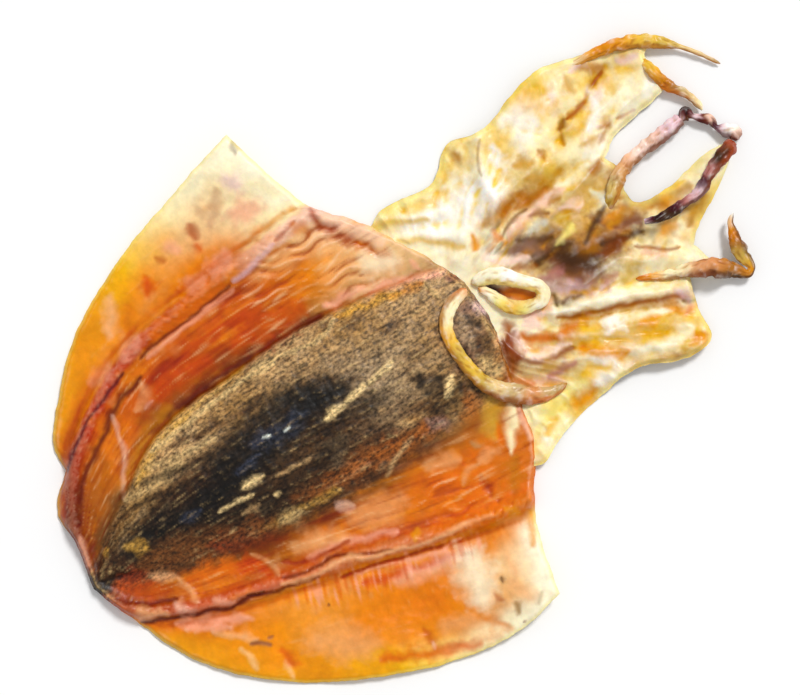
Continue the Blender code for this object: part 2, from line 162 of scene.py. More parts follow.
# Heights of the head
HEAD_THICKNESS = 1.7
HEAD_EDGE_THICKNESS = 1.1
HEAD_LIFT = 1.7
RAY_WAVE = 1.1
RAYS = 9
RING_WAVE = 0.5
RING_WAVE_LENGTH = 7
WEB_LIFT_START = (22, 60)
FLOOR_GAP = 0.3
FLOOR_START = (60, 20)
WEB_THINNING = (70, 110)
LEAST_FOLD = -0.4
FOLD_LIFT_SHARE = 0.6
LOWEST_WEB = 0.05
THINNEST_WEB = 0.5
WEB_MARK_SHARE = 0.7

# Where the web slips under the mantle: how far it is below the mantle there, and how high it is in front
TUCK_DEPTH = 0.5
FRONT_HEIGHT = 3.0
FRONT_RISE = 0.8

# The neck, from which the web's folds fan out, the line of the crumpled heap, and the mass under the heap as
# x, y, height and size
NECK = (-4.0, 8.0)
HEAP_LINE = np.array(((-12, 39), (-9, 42), (-4, 52), (0, 62), (4, 74), (9, 84)))
HEAP_HALF_WIDTH = 9.0
MOUTH_MASS = (3.0, 50.0, 4.2, 15.0)

# Folds of the head: points along the crest, half width and height
FOLDS = (
    (((-37.5, 93), (-36, 88), (-33.5, 83), (-32.5, 74), (-28, 69)), 2.0, -1.0),
    (((-29, 104), (-26, 96), (-27, 86), (-25, 76)), 5.0, 2.6),
    (((-43, 50), (-33, 44), (-23, 42), (-17, 36)), 2.4, 2.0),
    (((-16, 24), (-20, 31), (-24, 45), (-24, 58), (-20, 74)), 3.4, 2.2),
    (((-38, 12), (-34, 18), (-30, 28)), 2.6, 1.6),
    (((-30, 10), (-27, 20), (-21, 28)), 2.6, 1.6),
    (((-10, 30), (-14, 42), (-14, 58), (-14, 74), (-13, 84)), 3.2, 2.0),
    (((-3, 52), (-4, 64), (-6, 76)), 3.2, 2.4),
    (((2, 54), (4, 66), (8, 80), (8, 92), (4, 106)), 3.2, 2.6),
    (((10, 52), (14, 66), (20, 76), (31, 86)), 3.2, 2.4),
    (((14, 38), (17, 47), (23, 60), (30, 75)), 2.6, 2.2),
    (((21, 36), (27, 48), (34, 62), (43, 72)), 2.6, 2.0),
    (((12.5, 20.5), (19, 22), (29, 38), (37, 54), (46, 68)), 3.0, 2.2),
    (((34, 12), (35, 26), (38, 40), (44, 56)), 3.0, 1.8),
)

# Arms that leave the web: points x, y, z and radius along each, with its root inside the web
ARMS = (
    ((-44, 84, 2.2, 0.8), (-42.5, 94, 2.6, 1.4), (-39, 104, 2.8, 1.8), (-33.5, 111.2, 2.6, 1.5),
     (-30.8, 113.8, 2.3, 0.8), (-24.5, 118.5, 1.8, 0.6), (-18.8, 121.8, 1.2, 0.4)),
    ((-34, 102.5, 2.6, 0.7), (-30, 103.2, 3, 1.4), (-26.6, 103.6, 3, 1.6), (-21.7, 105.3, 2.8, 1.5),
     (-17.6, 107.9, 2.6, 1.1), (-13.5, 109.1, 2.4, 1), (-10.5, 109.2, 2.4, 0.7)),
    ((-1.5, 66, 3, 0.8), (-4.6, 71.5, 3.4, 1.6), (-8, 76, 3.7, 2), (-10, 80.6, 3.8, 1.9),
     (-11.2, 87.3, 3.5, 1.8), (-11.3, 94, 3.1, 2.1), (-11.8, 99.5, 2.8, 2), (-12.3, 103, 2.5, 1.6)),
    ((-11.4, 101.6, 2.6, 0.8), (-12.4, 105, 3, 1.9), (-10.6, 105.9, 2.6, 0.7), (-8.9, 107.3, 2.6, 1.5),
     (-7.6, 108.2, 2.4, 0.6), (-6.5, 109.7, 2.4, 1.5), (-3.5, 109.8, 2.3, 0.7), (-1.7, 111.4, 2.4, 1.8),
     (0.2, 113, 2.5, 2.1), (2.9, 112.6, 2.5, 1.7)),
    ((6.6, 74.5, 6.4, 0.6), (8.7, 80.8, 7, 1.2), (9.1, 84.9, 7.2, 1.5), (9, 88.9, 7.2, 1.2),
     (9.2, 92.6, 7, 1.4), (8, 95.9, 6.8, 1.7), (6.3, 99.2, 6.4, 1.5), (4.9, 102.4, 5.8, 1.8),
     (4.1, 105.5, 5, 1.9), (3.4, 108.6, 4, 2), (2.7, 111.3, 3, 1.6)),
    ((19.4, 64, 3, 0.6), (23.6, 72, 3.4, 1.3), (26.7, 79.1, 3.6, 2), (29.3, 83.9, 3.4, 2.6),
     (32.3, 87.6, 3.2, 2.4), (35.4, 90.6, 3, 1.6), (37.7, 93.4, 3, 0.9), (36.5, 94.2, 3.4, 1),
     (32.7, 94, 3.8, 1.8), (28.5, 94.3, 4.2, 1.9), (24.9, 95.4, 4.4, 1.3), (21.9, 96.4, 4.4, 0.8),
     (19.9, 98.8, 4.2, 0.4)),
)

# The two long tentacles, curled up on the neck: points x, y and radius along each
TENTACLES = (
    ((-7.4, 23.1, 1.2), (-6.9, 26.5, 2), (-5.1, 30.7, 2.4), (-1.5, 33.7, 2.1), (2.2, 36.9, 1.8),
     (5.5, 39, 1.9), (8, 38.4, 2), (8.2, 34.9, 1.7), (6.7, 30.8, 1.9), (4, 28, 1.9), (0.4, 26.5, 1.6),
     (-3, 25.2, 1.3), (-5.4, 23.9, 0.9)),
    ((-7, 20.6, 1.3), (-6.4, 16.2, 1.7), (-4.6, 12, 1.8), (-0.8, 9, 1.8), (4.1, 7.7, 1.8), (9.5, 7.6, 1.8),
     (15, 8.1, 1.9), (20, 9.4, 2.2), (24, 12.1, 2.5), (27.9, 16, 2.6), (31.2, 20.3, 2.2), (33, 24.9, 1.4),
     (33.1, 29.2, 0.7)),
)

# How the strands lie: shares of their radius that tentacles sink in and arms stay above the web, the length
# of an arm's root in the web, and how often a tentacle's heights are eased
TENTACLE_SINK = 0.35
ARM_CLEARANCE = 0.35
ROOT_LENGTH = 6.0
SMOOTHING_PASSES = 6

# The strands' shape: their wrinkles, width and height as shares of the radius, and how their ends close
ARM_WRINKLES = 0.2
TENTACLE_WRINKLES = 0.1
STRAND_TWIST = 0.6
STRAND_WIDTH = 1.12
STRAND_HEIGHT = 0.65
END_LENGTH = 1.2
END_SHARE = 0.35

# How strongly a strand's edge colours show at its side and below; these colours are partly the strand's
# own edge and partly painted shade
SIDE_SHADE = 0.85
UNDER_SHADE = 0.6

# The paints, as red, green and blue from 0 to 255
PAINTS = {
    "white": (255, 250, 244), "pale": (252, 243, 212), "cream": (250, 234, 186), "straw": (240, 222, 128),
    "yellow": (240, 192, 80), "gold": (222, 146, 14), "gold_bright": (228, 184, 62),
    "gold_spot": (200, 150, 60), "amber": (204, 112, 16), "orange": (216, 108, 20),
    "orange_red": (200, 74, 12), "russet": (184, 76, 22), "rust": (158, 56, 10), "chestnut": (126, 56, 16),
    "red_brown": (112, 38, 14), "maroon": (88, 20, 14), "plum": (78, 24, 34), "blush": (236, 192, 170),
    "peach": (232, 172, 120), "biscuit": (238, 194, 140), "apricot": (218, 132, 56),
    "sienna": (202, 110, 46), "clay": (204, 116, 68), "sand": (208, 138, 80), "pink": (234, 164, 136),
    "pink_white": (252, 220, 204), "lilac": (226, 190, 196), "mauve": (188, 124, 118),
    "purple": (150, 96, 66), "purple_brown": (116, 62, 36), "amber_brown": (156, 84, 26),
    "gold_brown": (176, 112, 34), "brown": (112, 66, 28), "umber": (70, 42, 20), "bark": (92, 62, 32),
    "ochre": (180, 124, 42), "olive_gold": (206, 170, 72), "khaki": (150, 112, 62),
    "khaki_light": (200, 168, 112), "khaki_gold": (200, 152, 60), "tan": (172, 136, 90),
    "cream_tan": (228, 196, 136), "grey_tan": (152, 126, 92), "plum_grey": (130, 98, 84), "ink": (8, 8, 8),
    "ink_brown": (34, 22, 10), "smudge": (170, 112, 86), "dot": (104, 50, 36),
    "grey_white": (226, 232, 220), "blue_sheen": (50, 56, 74), "crimson": (176, 56, 36), "brick": (190, 84, 48),
    "deep_red": (130, 28, 8), "orange_gold": (232, 140, 30), "pink_light": (250, 206, 176),
    "amber_light": (228, 146, 62),
}

# Colours along the mantle at these y, in lanes from its left flap across to its right flap
LANE_KNOTS = np.array((-115.0, -95.0, -75.0, -55.0, -35.0, -15.0, 5.0))
LANES = (
    ("amber", "orange_gold", "apricot", "amber_light", "biscuit", "cream", "cream"),
    ("rust", "sienna", "amber_light", "apricot", "apricot", "cream", "cream"),
    ("chestnut", "russet", "sienna", "sienna", "sienna", "biscuit", "blush"),
    ("chestnut", "sienna", "russet", "russet", "russet", "apricot", "biscuit"),
    ("umber", "khaki", "tan", "khaki", "tan", "khaki", "tan"),
    ("ink_brown", "umber", "umber", "bark", "bark", "grey_tan", "khaki"),
    ("ink_brown", "umber", "ink_brown", "umber", "umber", "bark", "khaki"),
    ("chestnut", "sienna", "amber_brown", "sienna", "sienna", "orange", "sienna"),
    ("chestnut", "russet", "russet", "russet", "russet", "orange", "orange"),
    ("orange", "sienna", "amber_light", "apricot", "amber_light", "apricot", "biscuit"),
    ("gold", "orange_gold", "amber_light", "amber_light", "apricot", "biscuit", "pale"),
)
MARGIN = ("gold", "gold", "gold", "yellow", "cream", "pale", "pale")
LEFT_BAND_PAINTS = ("red_brown", "crimson", "crimson", "brick", "clay", "blush", "blush")
RIGHT_BAND_PAINTS = ("rust", "brick", "brick", "clay", "clay", "orange", "amber")

# How far the outer lanes lie from their fin band, how far a lane lies from each side of the shield, and how
# wide the flaps' coloured margin is
LANE_REACH = (17.0, 4.6, 0.0)
RIM_STEP = 3
MARGIN_WIDTH = 12.0

# Where the fin bands' colour starts and is full, its strength, how far the middle of the pleats lies from the
# right band, and the y between which pleats and streaks fade in from the front and out at the tail
BAND_FADE = (3.0, 1.4)
BAND_STRENGTH = 0.85
CREASE_REACH = 7.0
REAR_FADE = (0, -35)
TAIL_FADE = (-84, -66)

# Wrinkles near the mantle's front: on the left from behind, from the front and from the shield, and on the
# right as x, y, size and strength
LEFT_WRINKLES = ((-52, -26), (8, -4), (-16, -26))
RIGHT_WRINKLES = (43.0, -18.0, 11.0, 0.8)

# Patterns of the skin: width and length of their hills, seed, and number of layers, each half the size of the
# one before
PATTERNS = {
    "fibres": (1.6, 12.0, 11, 2), "hatching": (5.0, 1.5, 19, 2), "swells": (7.0, 12.0, 27, 3),
    "pinches": (2.0, 1.9, 31, 2), "fold_lines": (1.6, 9.0, 37, 2), "side_grain": (1.5, 12.0, 39, 3),
    "furrows": (1.3, 8.0, 43, 3), "knobs": (3.4, 3.4, 51, 3), "mark_edges": (2.4, 2.4, 73, 3),
    "lane_shift": (9.0, 9.0, 81, 3), "lane_slip": (12.0, 12.0, 84, 3), "blotches": (8.0, 8.0, 91, 3),
    "streaks": (4.0, 26.0, 93, 3), "mottles": (5.0, 11.0, 95, 4), "patches": (9.0, 9.0, 124, 3),
    "spots": (4.0, 4.0, 129, 3), "flushes": (7.0, 7.0, 127, 3), "fine_streaks": (2.4, 2.4, 144, 3),
    "heap": (8.0, 8.0, 107, 3), "heap_creases": (4.0, 4.0, 111, 2),
}

# The mantle's fine relief: place, pattern, height, and how much it lightens the tint on the relief's crests
# and darkens it in its dips, as painted light and shade
MANTLE_RELIEF = (
    ("flap", "flap_grain", 0.1, 1.1),
    ("flap", "swells", 0.4, 0),
    ("band", "pinches", 0.42, 1.3),
    ("side", "side_grain", 0.22, 1.5),
    ("wrinkled", "folds", 0.5, 1.3),
    ("shield", "furrows", 0.3, 0.8),
    ("shield", "knobs", 0.3, 0.5),
)

# Heights of the web's crumpled relief, and the distances from the neck between which it comes in
WIDE_HEIGHT = 1.1
NARROW_HEIGHT = 0.25
CRUMPLE_HEIGHT = 0.6
HEAP_HEIGHT = 0.25
CRUMPLE_START = (10, 45)

# Washes: paint, place, strength, pattern, and the pattern's values where the wash starts and where it is
# full. The WASHES go under the marks, and STREAKS and the tables of painted light and shade over them
MANTLE_WASHES = (
    ("orange_gold", "inner", 0.4, "blotches", 0.1, 0.8),
    ("peach", "inner", 0.3, "blotches", -0.15, -0.8),
    ("deep_red", "rear_side", 0.75, "streaks", 0.05, 0.7),
    ("orange_gold", "side", 0.5, "streaks", -0.1, -0.8),
    ("umber", "shield", 0.7, "mottles", 0.05, 0.6),
    ("grey_tan", "shield", 0.5, "mottles", -0.05, -0.6),
    # On the shield, khaki on the raised grain and ink-brown in the low grain: partly the grain's own colour,
    # partly painted light and shade
    ("khaki_light", "shield", 0.5, "light", 0.2, 1.0),
    ("ink_brown", "shield", 0.7, "light", -0.1, -0.9),
)
# Painted light and shade on the mantle: painted highlights on the pleat tops, the raised grain and the
# crests, painted shade between the pleats and in the low grain, and a painted glow where light shines through
# the thin flap edge
MANTLE_PAINTED_LIGHT_AND_SHADE = (
    ("pink", "all", 0.6, "creases", 0.05, 0.5),
    ("orange_red", "all", 0.45, "creases", -0.05, -0.5),
    ("biscuit", "half_band", 0.45, "light", 0.25, 1.5),
    ("deep_red", "off_flap", 0.45, "light", -0.2, -1.3),
    ("tan", "shield", 0.12, "light", 0.25, 1.0),
    ("ink", "shield", 0.3, "light", -0.1, -0.9),
    ("straw", "flap", 0.5, "gap", 1.5, 0),
    ("pink_light", "off_band", 0.35, "relief", -0.04, -0.35),
    ("khaki_light", "shield", 0.35, "relief", -0.04, -0.35),
)
WEB_WASHES = (
    ("pale", "all", 1, "radius", 40, 10),
    ("gold_bright", "gilded", 1, "patches", -0.1, 0.8),
    ("gold_bright", "spread", 0.5, "spots", 0.1, 0.9),
    ("blush", "all", 0.3, "flushes", 0.1, 0.7),
    ("white", "all", 0.6, "patches", -0.25, -0.9),
)
WEB_STREAKS = (("white", "all", 0.3, "streaks", 0.1, 1.0),)
# Painted light on the web: a painted glow where light shines through its thin edge, and painted highlights on
# its crests
WEB_PAINTED_LIGHT = (
    ("straw", "all", 0.45, "gap", 3.2, 0),
    ("white", "off_heap", 0.35, "relief", -0.06, -0.4),
)
# Painted highlights on the raised lumps of the arms and tentacles
STRAND_PAINTED_HIGHLIGHTS = (("white", "all", 0.3, "lumps", 0.3, 1.2),)

# Where hollows, streaks and dips darken the tint: the values where that starts and is full, and the shares
# of red, green and blue that are lost there. The darkening in the skins' hollows and in the dips of a
# strand's wrinkles is painted shade
MANTLE_HOLLOW_SHADE = (0.03, 0.4, (0.3, 0.6, 0.8))
WEB_HOLLOW_SHADE = (0, 0.28, (0.1, 0.3, 0.82))
STREAK_SHADE = (0, -1.1, (0.1, 0.24, 0.6))
DIP_SHADE = (0, -1.1, (0.3, 0.45, 0.6))

# How many times the heights are averaged to find the hollows and crests that get painted shade and
# painted highlights, and the gaps to an edge between which they come in
MANTLE_PASSES = 8
WEB_PASSES = 12
EDGE_CALM = (0.6, 2.4)
FRONT_CALM = (1.0, 7.0)

# How many times as far from grey the finished colours are
COLOUR_STRENGTH = 1.1

# The noise: its cells before it repeats, and the factor that brings it to about -1 to 1
NOISE_CELLS = 64
NOISE_SCALE = 1.6

# The skins' bump in millimetres and share of light that passes into them, and their roughness, with what the
# shield and the heap add to it
MANTLE_SKIN = (0.16, 0.12)
WEB_SKIN = (0.1, 0.25)
ARM_SKIN = (0.1, 0.15)
MANTLE_ROUGHNESS = 0.36
SHIELD_ROUGHNESS = 0.1
SHIELD_GRAIN = 0.85
WEB_ROUGHNESS = 0.34
HEAP_ROUGHNESS = 0.3
ARM_ROUGHNESS = 0.32

# The grain in the skins: width and length of each texture, shares in a sum, the range of a texture's values
# that is used, and what that range does to the colour and the roughness
STREAK_SIZE = (0.9, 5.0)
SPECK_SIZE = (0.9, 1.2)
MOTTLE_SIZE = (3.0, 3.0)
GLOSS_SIZE = (2.2, 2.2)
BUMP_SIZE = (1.4, 1.4)
TEXTURE_DETAIL = 3
STREAK_SHARE = 0.35
CRINKLE_SHARE = 0.6
MIDDLE_RANGE = (0.35, 0.65)
GRAIN_RANGE = (0.37, 0.63)
MOTTLE_SHADES = (0.92, 1.08)
GRAIN_SHADES = (0.22, 1.78)
GLOSS_CHANGE = (-0.08, 0.08)
GLOW_COLOUR = (1.0, 0.45, 0.18)
GLOW_DEPTH = 1.2
SHINE = 0.22

# The light, with the key's spread in degrees and its direction, and the floor, with its reach in metres
SOFT_LIGHT = 0.55
KEY_LIGHT = 2.2
KEY_SPREAD = 14
KEY_DIRECTION = (-0.41, 0.90, 1.25)
FLOOR_REACH = 2.0
FLOOR_DROP = 0.02
FLOOR_COLOUR = (0.92, 0.92, 0.92, 1)
FLOOR_ROUGHNESS = 0.9

# Blots in the head's middle: paint, share, fineness and seed
HEAP_PAINTS = (("gold", 0.9, 10, 157), ("purple_brown", 0.6, 9, 154), ("umber", 0.75, 11, 151))

# Colours along each arm and tentacle, on its top and at its edges, from its root to its tip
ARM_PAINTS = (
    ("cream", "gold", "gold", "gold_bright", "olive_gold", "cream_tan", "tan"),
    ("gold", "gold_bright", "gold", "gold_brown", "khaki_light", "cream_tan", "cream"),
    ("khaki_gold", "olive_gold", "khaki_light", "peach", "pink_white", "blush", "lilac", "lilac"),
    ("lilac", "maroon", "maroon", "lilac", "red_brown", "blush", "plum", "lilac", "white", "pink_white",
     "red_brown"),
    ("lilac", "plum", "umber", "plum", "mauve", "lilac", "plum", "mauve", "umber", "chestnut", "rust"),
    ("amber", "gold", "cream", "cream", "peach", "sand", "gold_brown", "gold_brown", "gold", "olive_gold",
     "gold_brown", "gold", "grey_white"),
)
# The edge colours are partly the arms' own edges and partly painted shade on one side and underneath
ARM_EDGES = (
    ("gold", "gold_brown", "gold_brown"),
    ("gold_bright", "amber", "khaki"),
    ("gold_brown", "gold_brown", "purple_brown", "brown"),
    ("brown", "maroon", "plum", "red_brown"),
    ("umber", "umber", "chestnut", "rust"),
    ("amber", "gold_brown", "chestnut", "umber", "umber", "brown", "brown"),
)
TENTACLE_PAINTS = (
    ("pale", "pale", "pale", "white", "pale", "pale", "cream", "pale", "straw", "yellow", "straw", "pale",
     "gold"),
    ("peach", "cream", "cream", "yellow", "olive_gold", "gold_bright", "olive_gold", "cream_tan",
     "khaki_light", "sand", "khaki_light", "ochre"),
)
# Partly the tentacles' own edges and partly painted shade on one side and underneath
TENTACLE_EDGES = (
    ("straw", "gold_bright", "cream"),
    ("sienna", "gold_brown", "gold", "gold_brown", "gold_brown", "amber_brown", "amber_brown", "sienna",
     "gold_brown"),
)

# How marks are drawn: their relief, the wave in their line and its size, their width at the ends, and how
# rough their edges are
MARK_RELIEF = 0.55
MARK_WARP = 0.75
WIDEST_WARP = 1.5
MARK_WAVE = 4.0
MARK_END_SHARE = 0.35
MARK_ROUGHNESS = 0.45

# Marks on the skin, from the left flap to the head: paint, half width, strength, relief and points
LEFT_FLAP = (
    ("umber", 0.9, 0.55, 0, ((-83, -11), (-79.5, -12.5))),
    ("tan", 1.1, 0.6, 0, ((-81.5, -9.5), (-78, -9.5))),
    ("lilac", 2.7, 0.6, 0.25, ((-74.5, -19), (-71, -17.5))),
    ("smudge", 1.8, 0.45, -0.2, ((-73.5, -24), (-70, -26.5), (-67, -30.5))),
    ("smudge", 1.5, 0.35, 0, ((-72, -31), (-70, -31.5))),
    ("rust", 1.3, 0.75, -0.2, ((-69.5, -36), (-66, -37))),
    ("pink", 3.3, 0.7, 0.3, ((-65, -23), (-63.5, -17))),
    ("orange_red", 1.5, 0.7, 0, ((-64, -38), (-62, -38))),
    ("orange_red", 2.1, 0.85, -0.25, ((-64, -56), (-60.5, -57.5))),
    ("rust", 1.2, 0.6, -0.2, ((-67.5, -50), (-66, -49))),
    ("pink", 2.4, 0.6, 0.3, ((-69, -44.5), (-67, -44))),
    ("pink", 3, 0.75, 0.4, ((-56, -37), (-56, -32.5))),
    ("pink", 2.7, 0.6, 0.3, ((-55, -46), (-55, -42.5))),
    ("peach", 1.8, 0.8, 0.3, ((-66, -68.5), (-61, -71.5), (-56.5, -74.5))),
    ("amber", 1.8, 0.7, -0.2, ((-60.5, -65), (-53.5, -70.5))),
    ("orange", 2.1, 0.8, -0.3, ((-49.5, -38.5), (-49.5, -50), (-49, -63))),
    ("pink", 3, 0.5, 0.2, ((-52, -69), (-50, -73.5))),
    ("cream", 1.8, 0.6, 0.2, ((-69.5, -13.5), (-63, -8.5))),
    ("pink", 2.1, 0.5, 0.2, ((-48, -86.5), (-49, -80.5))),
)
LEFT_BAND = (
    ("plum", 0.45, 0.65, -0.5, ((-48.5, -36.5), (-47.5, -47.5), (-47, -55.5), (-47, -63.5), (-46, -71))),
    ("plum", 0.5, 0.85, -0.5, ((-45, -77.5), (-42.5, -86), (-39, -95.5), (-35, -102), (-31, -108))),
    # Painted highlights: the lilac and pink lines beside the fin band's dark lines
    ("lilac", 0.7, 0.6, 0.5, ((-51, -19), (-49.5, -26.5), (-48.5, -34.5))),
    ("pink", 0.6, 0.6, 0.3, ((-47, -36.5), (-46.5, -45), (-46, -54), (-45.5, -63), (-45, -69))),
    ("maroon", 0.9, 0.85, -0.6, ((-41, -73.5), (-39, -83), (-36.5, -88.5), (-34, -92), (-29.5, -99.5),
     (-25.5, -106), (-20.5, -111), (-15.5, -114.5))),
    ("pink", 0.9, 0.5, 0.2, ((-12.5, -116), (-4.5, -119))),
    ("ink_brown", 1.8, 0.9, 0, ((-1.5, -120), (2.5, -121))),
)
LEFT_SIDE = (
    # Painted highlight along the ridge of a fold
    ("blush", 0.6, 0.4, 0.4, ((-36.5, -87.5), (-32, -89), (-27.5, -90), (-22, -93.5), (-18.5, -96.5),
     (-14.5, -99))),
    ("amber_brown", 3, 0.6, -0.2, ((-26, -99), (-19, -105.5), (-12, -111.5))),
    ("umber", 2.7, 0.5, 0, ((-10, -108), (-5, -113))),
    ("peach", 1.2, 0.5, 0.3, ((-39.5, -74.5), (-35, -77), (-34, -81))),
    # Painted glint
    ("blush", 0.6, 0.5, 0.4, ((-33, -78), (-33.5, -75.5))),
    ("chestnut", 3.6, 0.6, -0.3, ((-30.5, -80), (-31, -66), (-30.5, -51), (-30.5, -38), (-29, -24))),
    ("maroon", 1.5, 0.85, -0.6, ((-26, -80), (-27.5, -66), (-28, -51), (-28, -39.5), (-27, -30),
     (-25.5, -20))),
    ("orange_red", 2.7, 0.45, 0, ((-34, -75.5), (-34.5, -64), (-34, -56))),
    ("orange_red", 3, 0.6, 0, ((-33.5, -45), (-31.5, -34.5), (-31.5, -23))),
    ("khaki_gold", 0.8, 0.6, 0.3, ((-23.5, -74.5), (-25, -65), (-25.5, -56), (-26, -47.5))),
    ("rust", 1.5, 0.8, -0.9, ((-53.5, -3.5), (-47.5, -4), (-43, -1.5), (-37.5, 1.5), (-32.5, 4.5))),
    ("amber", 1.5, 0.8, -0.4, ((-37.5, 1.5), (-32.5, 4.5), (-28.5, 7.5))),
    ("blush", 1.8, 0.5, 0.6, ((-50, -2), (-44, 1.5), (-38.5, 5.5), (-33, 8.5))),
    ("pink", 0.9, 0.6, 0.4, ((-23.5, 12), (-20.5, 12.5))),
    ("peach", 2.7, 0.55, 0.3, ((-27.5, -1), (-24.5, 8))),
    ("pale", 3.6, 0.5, 0.2, ((-30.5, 1), (-27, 6.5))),
    ("rust", 0.6, 0.6, -0.7, ((-51.5, -18), (-52, -14), (-53, -9.5))),
    ("amber", 1.8, 0.6, -0.2, ((-52, -10.5), (-48, -9))),
    ("pink", 1.2, 0.75, 0.5, ((-27, -17), (-26, -10), (-23, -1.5), (-19.5, 7.5), (-15, 18.5))),
    ("gold_brown", 1.1, 0.9, -0.7, ((-23, -15.5), (-21, -8), (-19.5, -1), (-17.5, 6), (-16, 11))),
    ("red_brown", 1.2, 0.8, -0.7, ((-12.5, 18), (-11, 21.5))),
)
SHIELD = (
    ("ink", 6.4, 0.97, 0, ((0, -105), (0.5, -94), (1, -80), (-0.5, -64), (-3, -50), (-5, -36), (-4, -28))),
    ("ink", 3.6, 0.8, 0, ((-5, -72), (-9, -58), (-11, -44), (-8, -34))),
    ("ink_brown", 4.2, 0.8, 0, ((4.5, -104), (8, -88), (10.5, -70), (11.5, -52), (8.5, -36))),
    ("ink_brown", 3, 0.7, 0, ((1.5, -40), (3.5, -28.5), (5, -18))),
    # Painted bluish sheen and grey-white glints on the black streak
    ("blue_sheen", 2.2, 0.5, 0.3, ((-5.5, -57), (-4, -49), (-5, -41))),
    ("blue_sheen", 1.1, 0.6, 0.2, ((-1.5, -66), (-2, -58))),
    ("blue_sheen", 1.2, 0.5, 0.2, ((1, -88), (1.5, -82))),
    ("grey_white", 0.4, 0.8, 0.4, ((-5.5, -54), (-5, -52))),
    ("grey_white", 0.4, 0.7, 0.4, ((-3.5, -47.5), (-4, -45.5))),
    ("khaki_light", 0.7, 0.85, 0.5, ((-21.5, -84), (-22, -72.5), (-22.5, -62), (-23, -49.5), (-22, -39))),
    ("khaki_light", 0.6, 0.7, 0.5, ((-24, -45.5), (-23, -38), (-21, -30.5), (-20, -23), (-22, -16.5))),
    ("khaki_light", 1.2, 0.5, 0.3, ((-14, -98), (-13, -88), (-13.5, -78))),
    ("khaki_light", 0.9, 0.5, 0.2, ((-18, -88), (-15, -76), (-14, -66))),
    ("ink_brown", 0.8, 0.7, -0.4, ((-15, -92), (-12, -80), (-10, -70))),
    ("ink_brown", 0.7, 0.7, -0.4, ((-11, -98), (-8, -86), (-7, -76))),
    ("umber", 0.8, 0.7, -0.4, ((-19, -78), (-17, -66), (-15, -54))),
    ("ink", 1.5, 0.7, 0, ((8.5, -7.5), (5.5, -5))),
    ("umber", 4, 0.55, 0, ((1, 9), (7, 12), (12, 15))),
    ("ink_brown", 3, 0.6, -0.1, ((18.3, 4.4), (17, -2), (18.7, -7.6))),
    ("ink_brown", 1.8, 0.7, 0, ((10.5, -2.5), (16, 2))),
    ("cream_tan", 0.7, 0.9, 0.6, ((0.5, -35.5), (0, -27), (-1, -19.5), (-2, -10))),
    ("cream_tan", 1.2, 0.7, 0.4, ((0.5, -35), (0, -31.5))),
    ("cream_tan", 1.1, 0.8, 0.7, ((3, -67), (3.5, -61))),
    ("cream_tan", 0.5, 0.8, 0.4, ((5, -77.5), (5.5, -72), (6.5, -66))),
    ("cream_tan", 0.6, 0.8, 0.4, ((10.5, -61.5), (10.5, -59.5))),
    ("tan", 0.5, 0.7, 0.3, ((6, -57), (7, -50), (7.5, -46))),
    ("tan", 0.6, 0.7, 0.3, ((9.5, -72), (10, -66))),
    ("gold_spot", 1.5, 0.6, 0.3, ((-1.5, -105.5), (1, -101))),
    ("gold_spot", 0.9, 0.6, 0.2, ((-4.5, -113), (-4.5, -112))),
    ("tan", 1.2, 0.7, 0.3, ((-15.5, -24), (-15, -21.5))),
    ("tan", 0.9, 0.6, 0.3, ((-8.5, -23.5), (-8.5, -23))),
    ("tan", 0.9, 0.7, 0.3, ((8, -21.5), (8, -20))),
    ("tan", 0.9, 0.7, 0.3, ((11.5, 2), (13.5, -1.5))),
    ("tan", 0.9, 0.7, 0.3, ((14.5, -19), (16.5, -15.5))),
    ("tan", 0.6, 0.8, 0.4, ((-16, 12), (-11.5, 13), (-9, 16.5))),
    ("plum_grey", 4.5, 0.6, 0, ((-2, 16), (4, 12), (10, 8))),
    ("grey_tan", 2.7, 0.35, 0.1, ((-6.5, -3), (-6, 2.5))),
    ("tan", 0.6, 0.7, 0.4, ((19.5, -17.5), (22.5, -26), (25, -30.5))),
    ("plum_grey", 1.8, 0.7, 0.2, ((19.5, -11), (22.5, -6.5))),
)
TAIL_MARKS = (
    ("umber", 2.7, 0.9, 0, ((-1, -115.5), (0.5, -108.5), (4.5, -99.5))),
    ("chestnut", 2.4, 0.8, 0, ((4, -103), (8.5, -88), (14, -69.5))),
    ("bark", 2.1, 0.7, 0, ((-6.5, -112.5), (-11.5, -106), (-16, -99))),
    ("gold_brown", 1.8, 0.7, 0, ((-20, -92.5), (-25, -84), (-29, -73))),
    ("khaki_gold", 1.5, 0.6, 0.1, ((-16.5, -92), (-22, -82.5), (-25.5, -69.5))),
    ("amber_brown", 2.4, 0.7, -0.1, ((14.5, -55.5), (17, -38.5), (19.5, -22), (20.5, -8))),
    ("khaki_gold", 0.9, 0.45, 0.2, ((17, -71), (18, -57.5), (20, -44.5))),
    ("ink_brown", 2.1, 0.7, 0, ((7, -6.5), (11.5, -5), (11.5, -0.5))),
    ("umber", 1.5, 0.7, 0, ((13, -10.5), (17.5, -6))),
    ("khaki", 0.9, 0.7, 0.3, ((15, -17.5), (16.5, -13.5))),
    ("plum_grey", 1.5, 0.8, 0.2, ((18.5, -11), (22, -8))),
    ("khaki_gold", 0.9, 0.7, -0.2, ((-22.5, -15), (-20, -5.5), (-18, 4))),
    ("khaki_light", 0.7, 0.7, 0.3, ((-16, 11.5), (-13, 12), (-10, 13))),
)
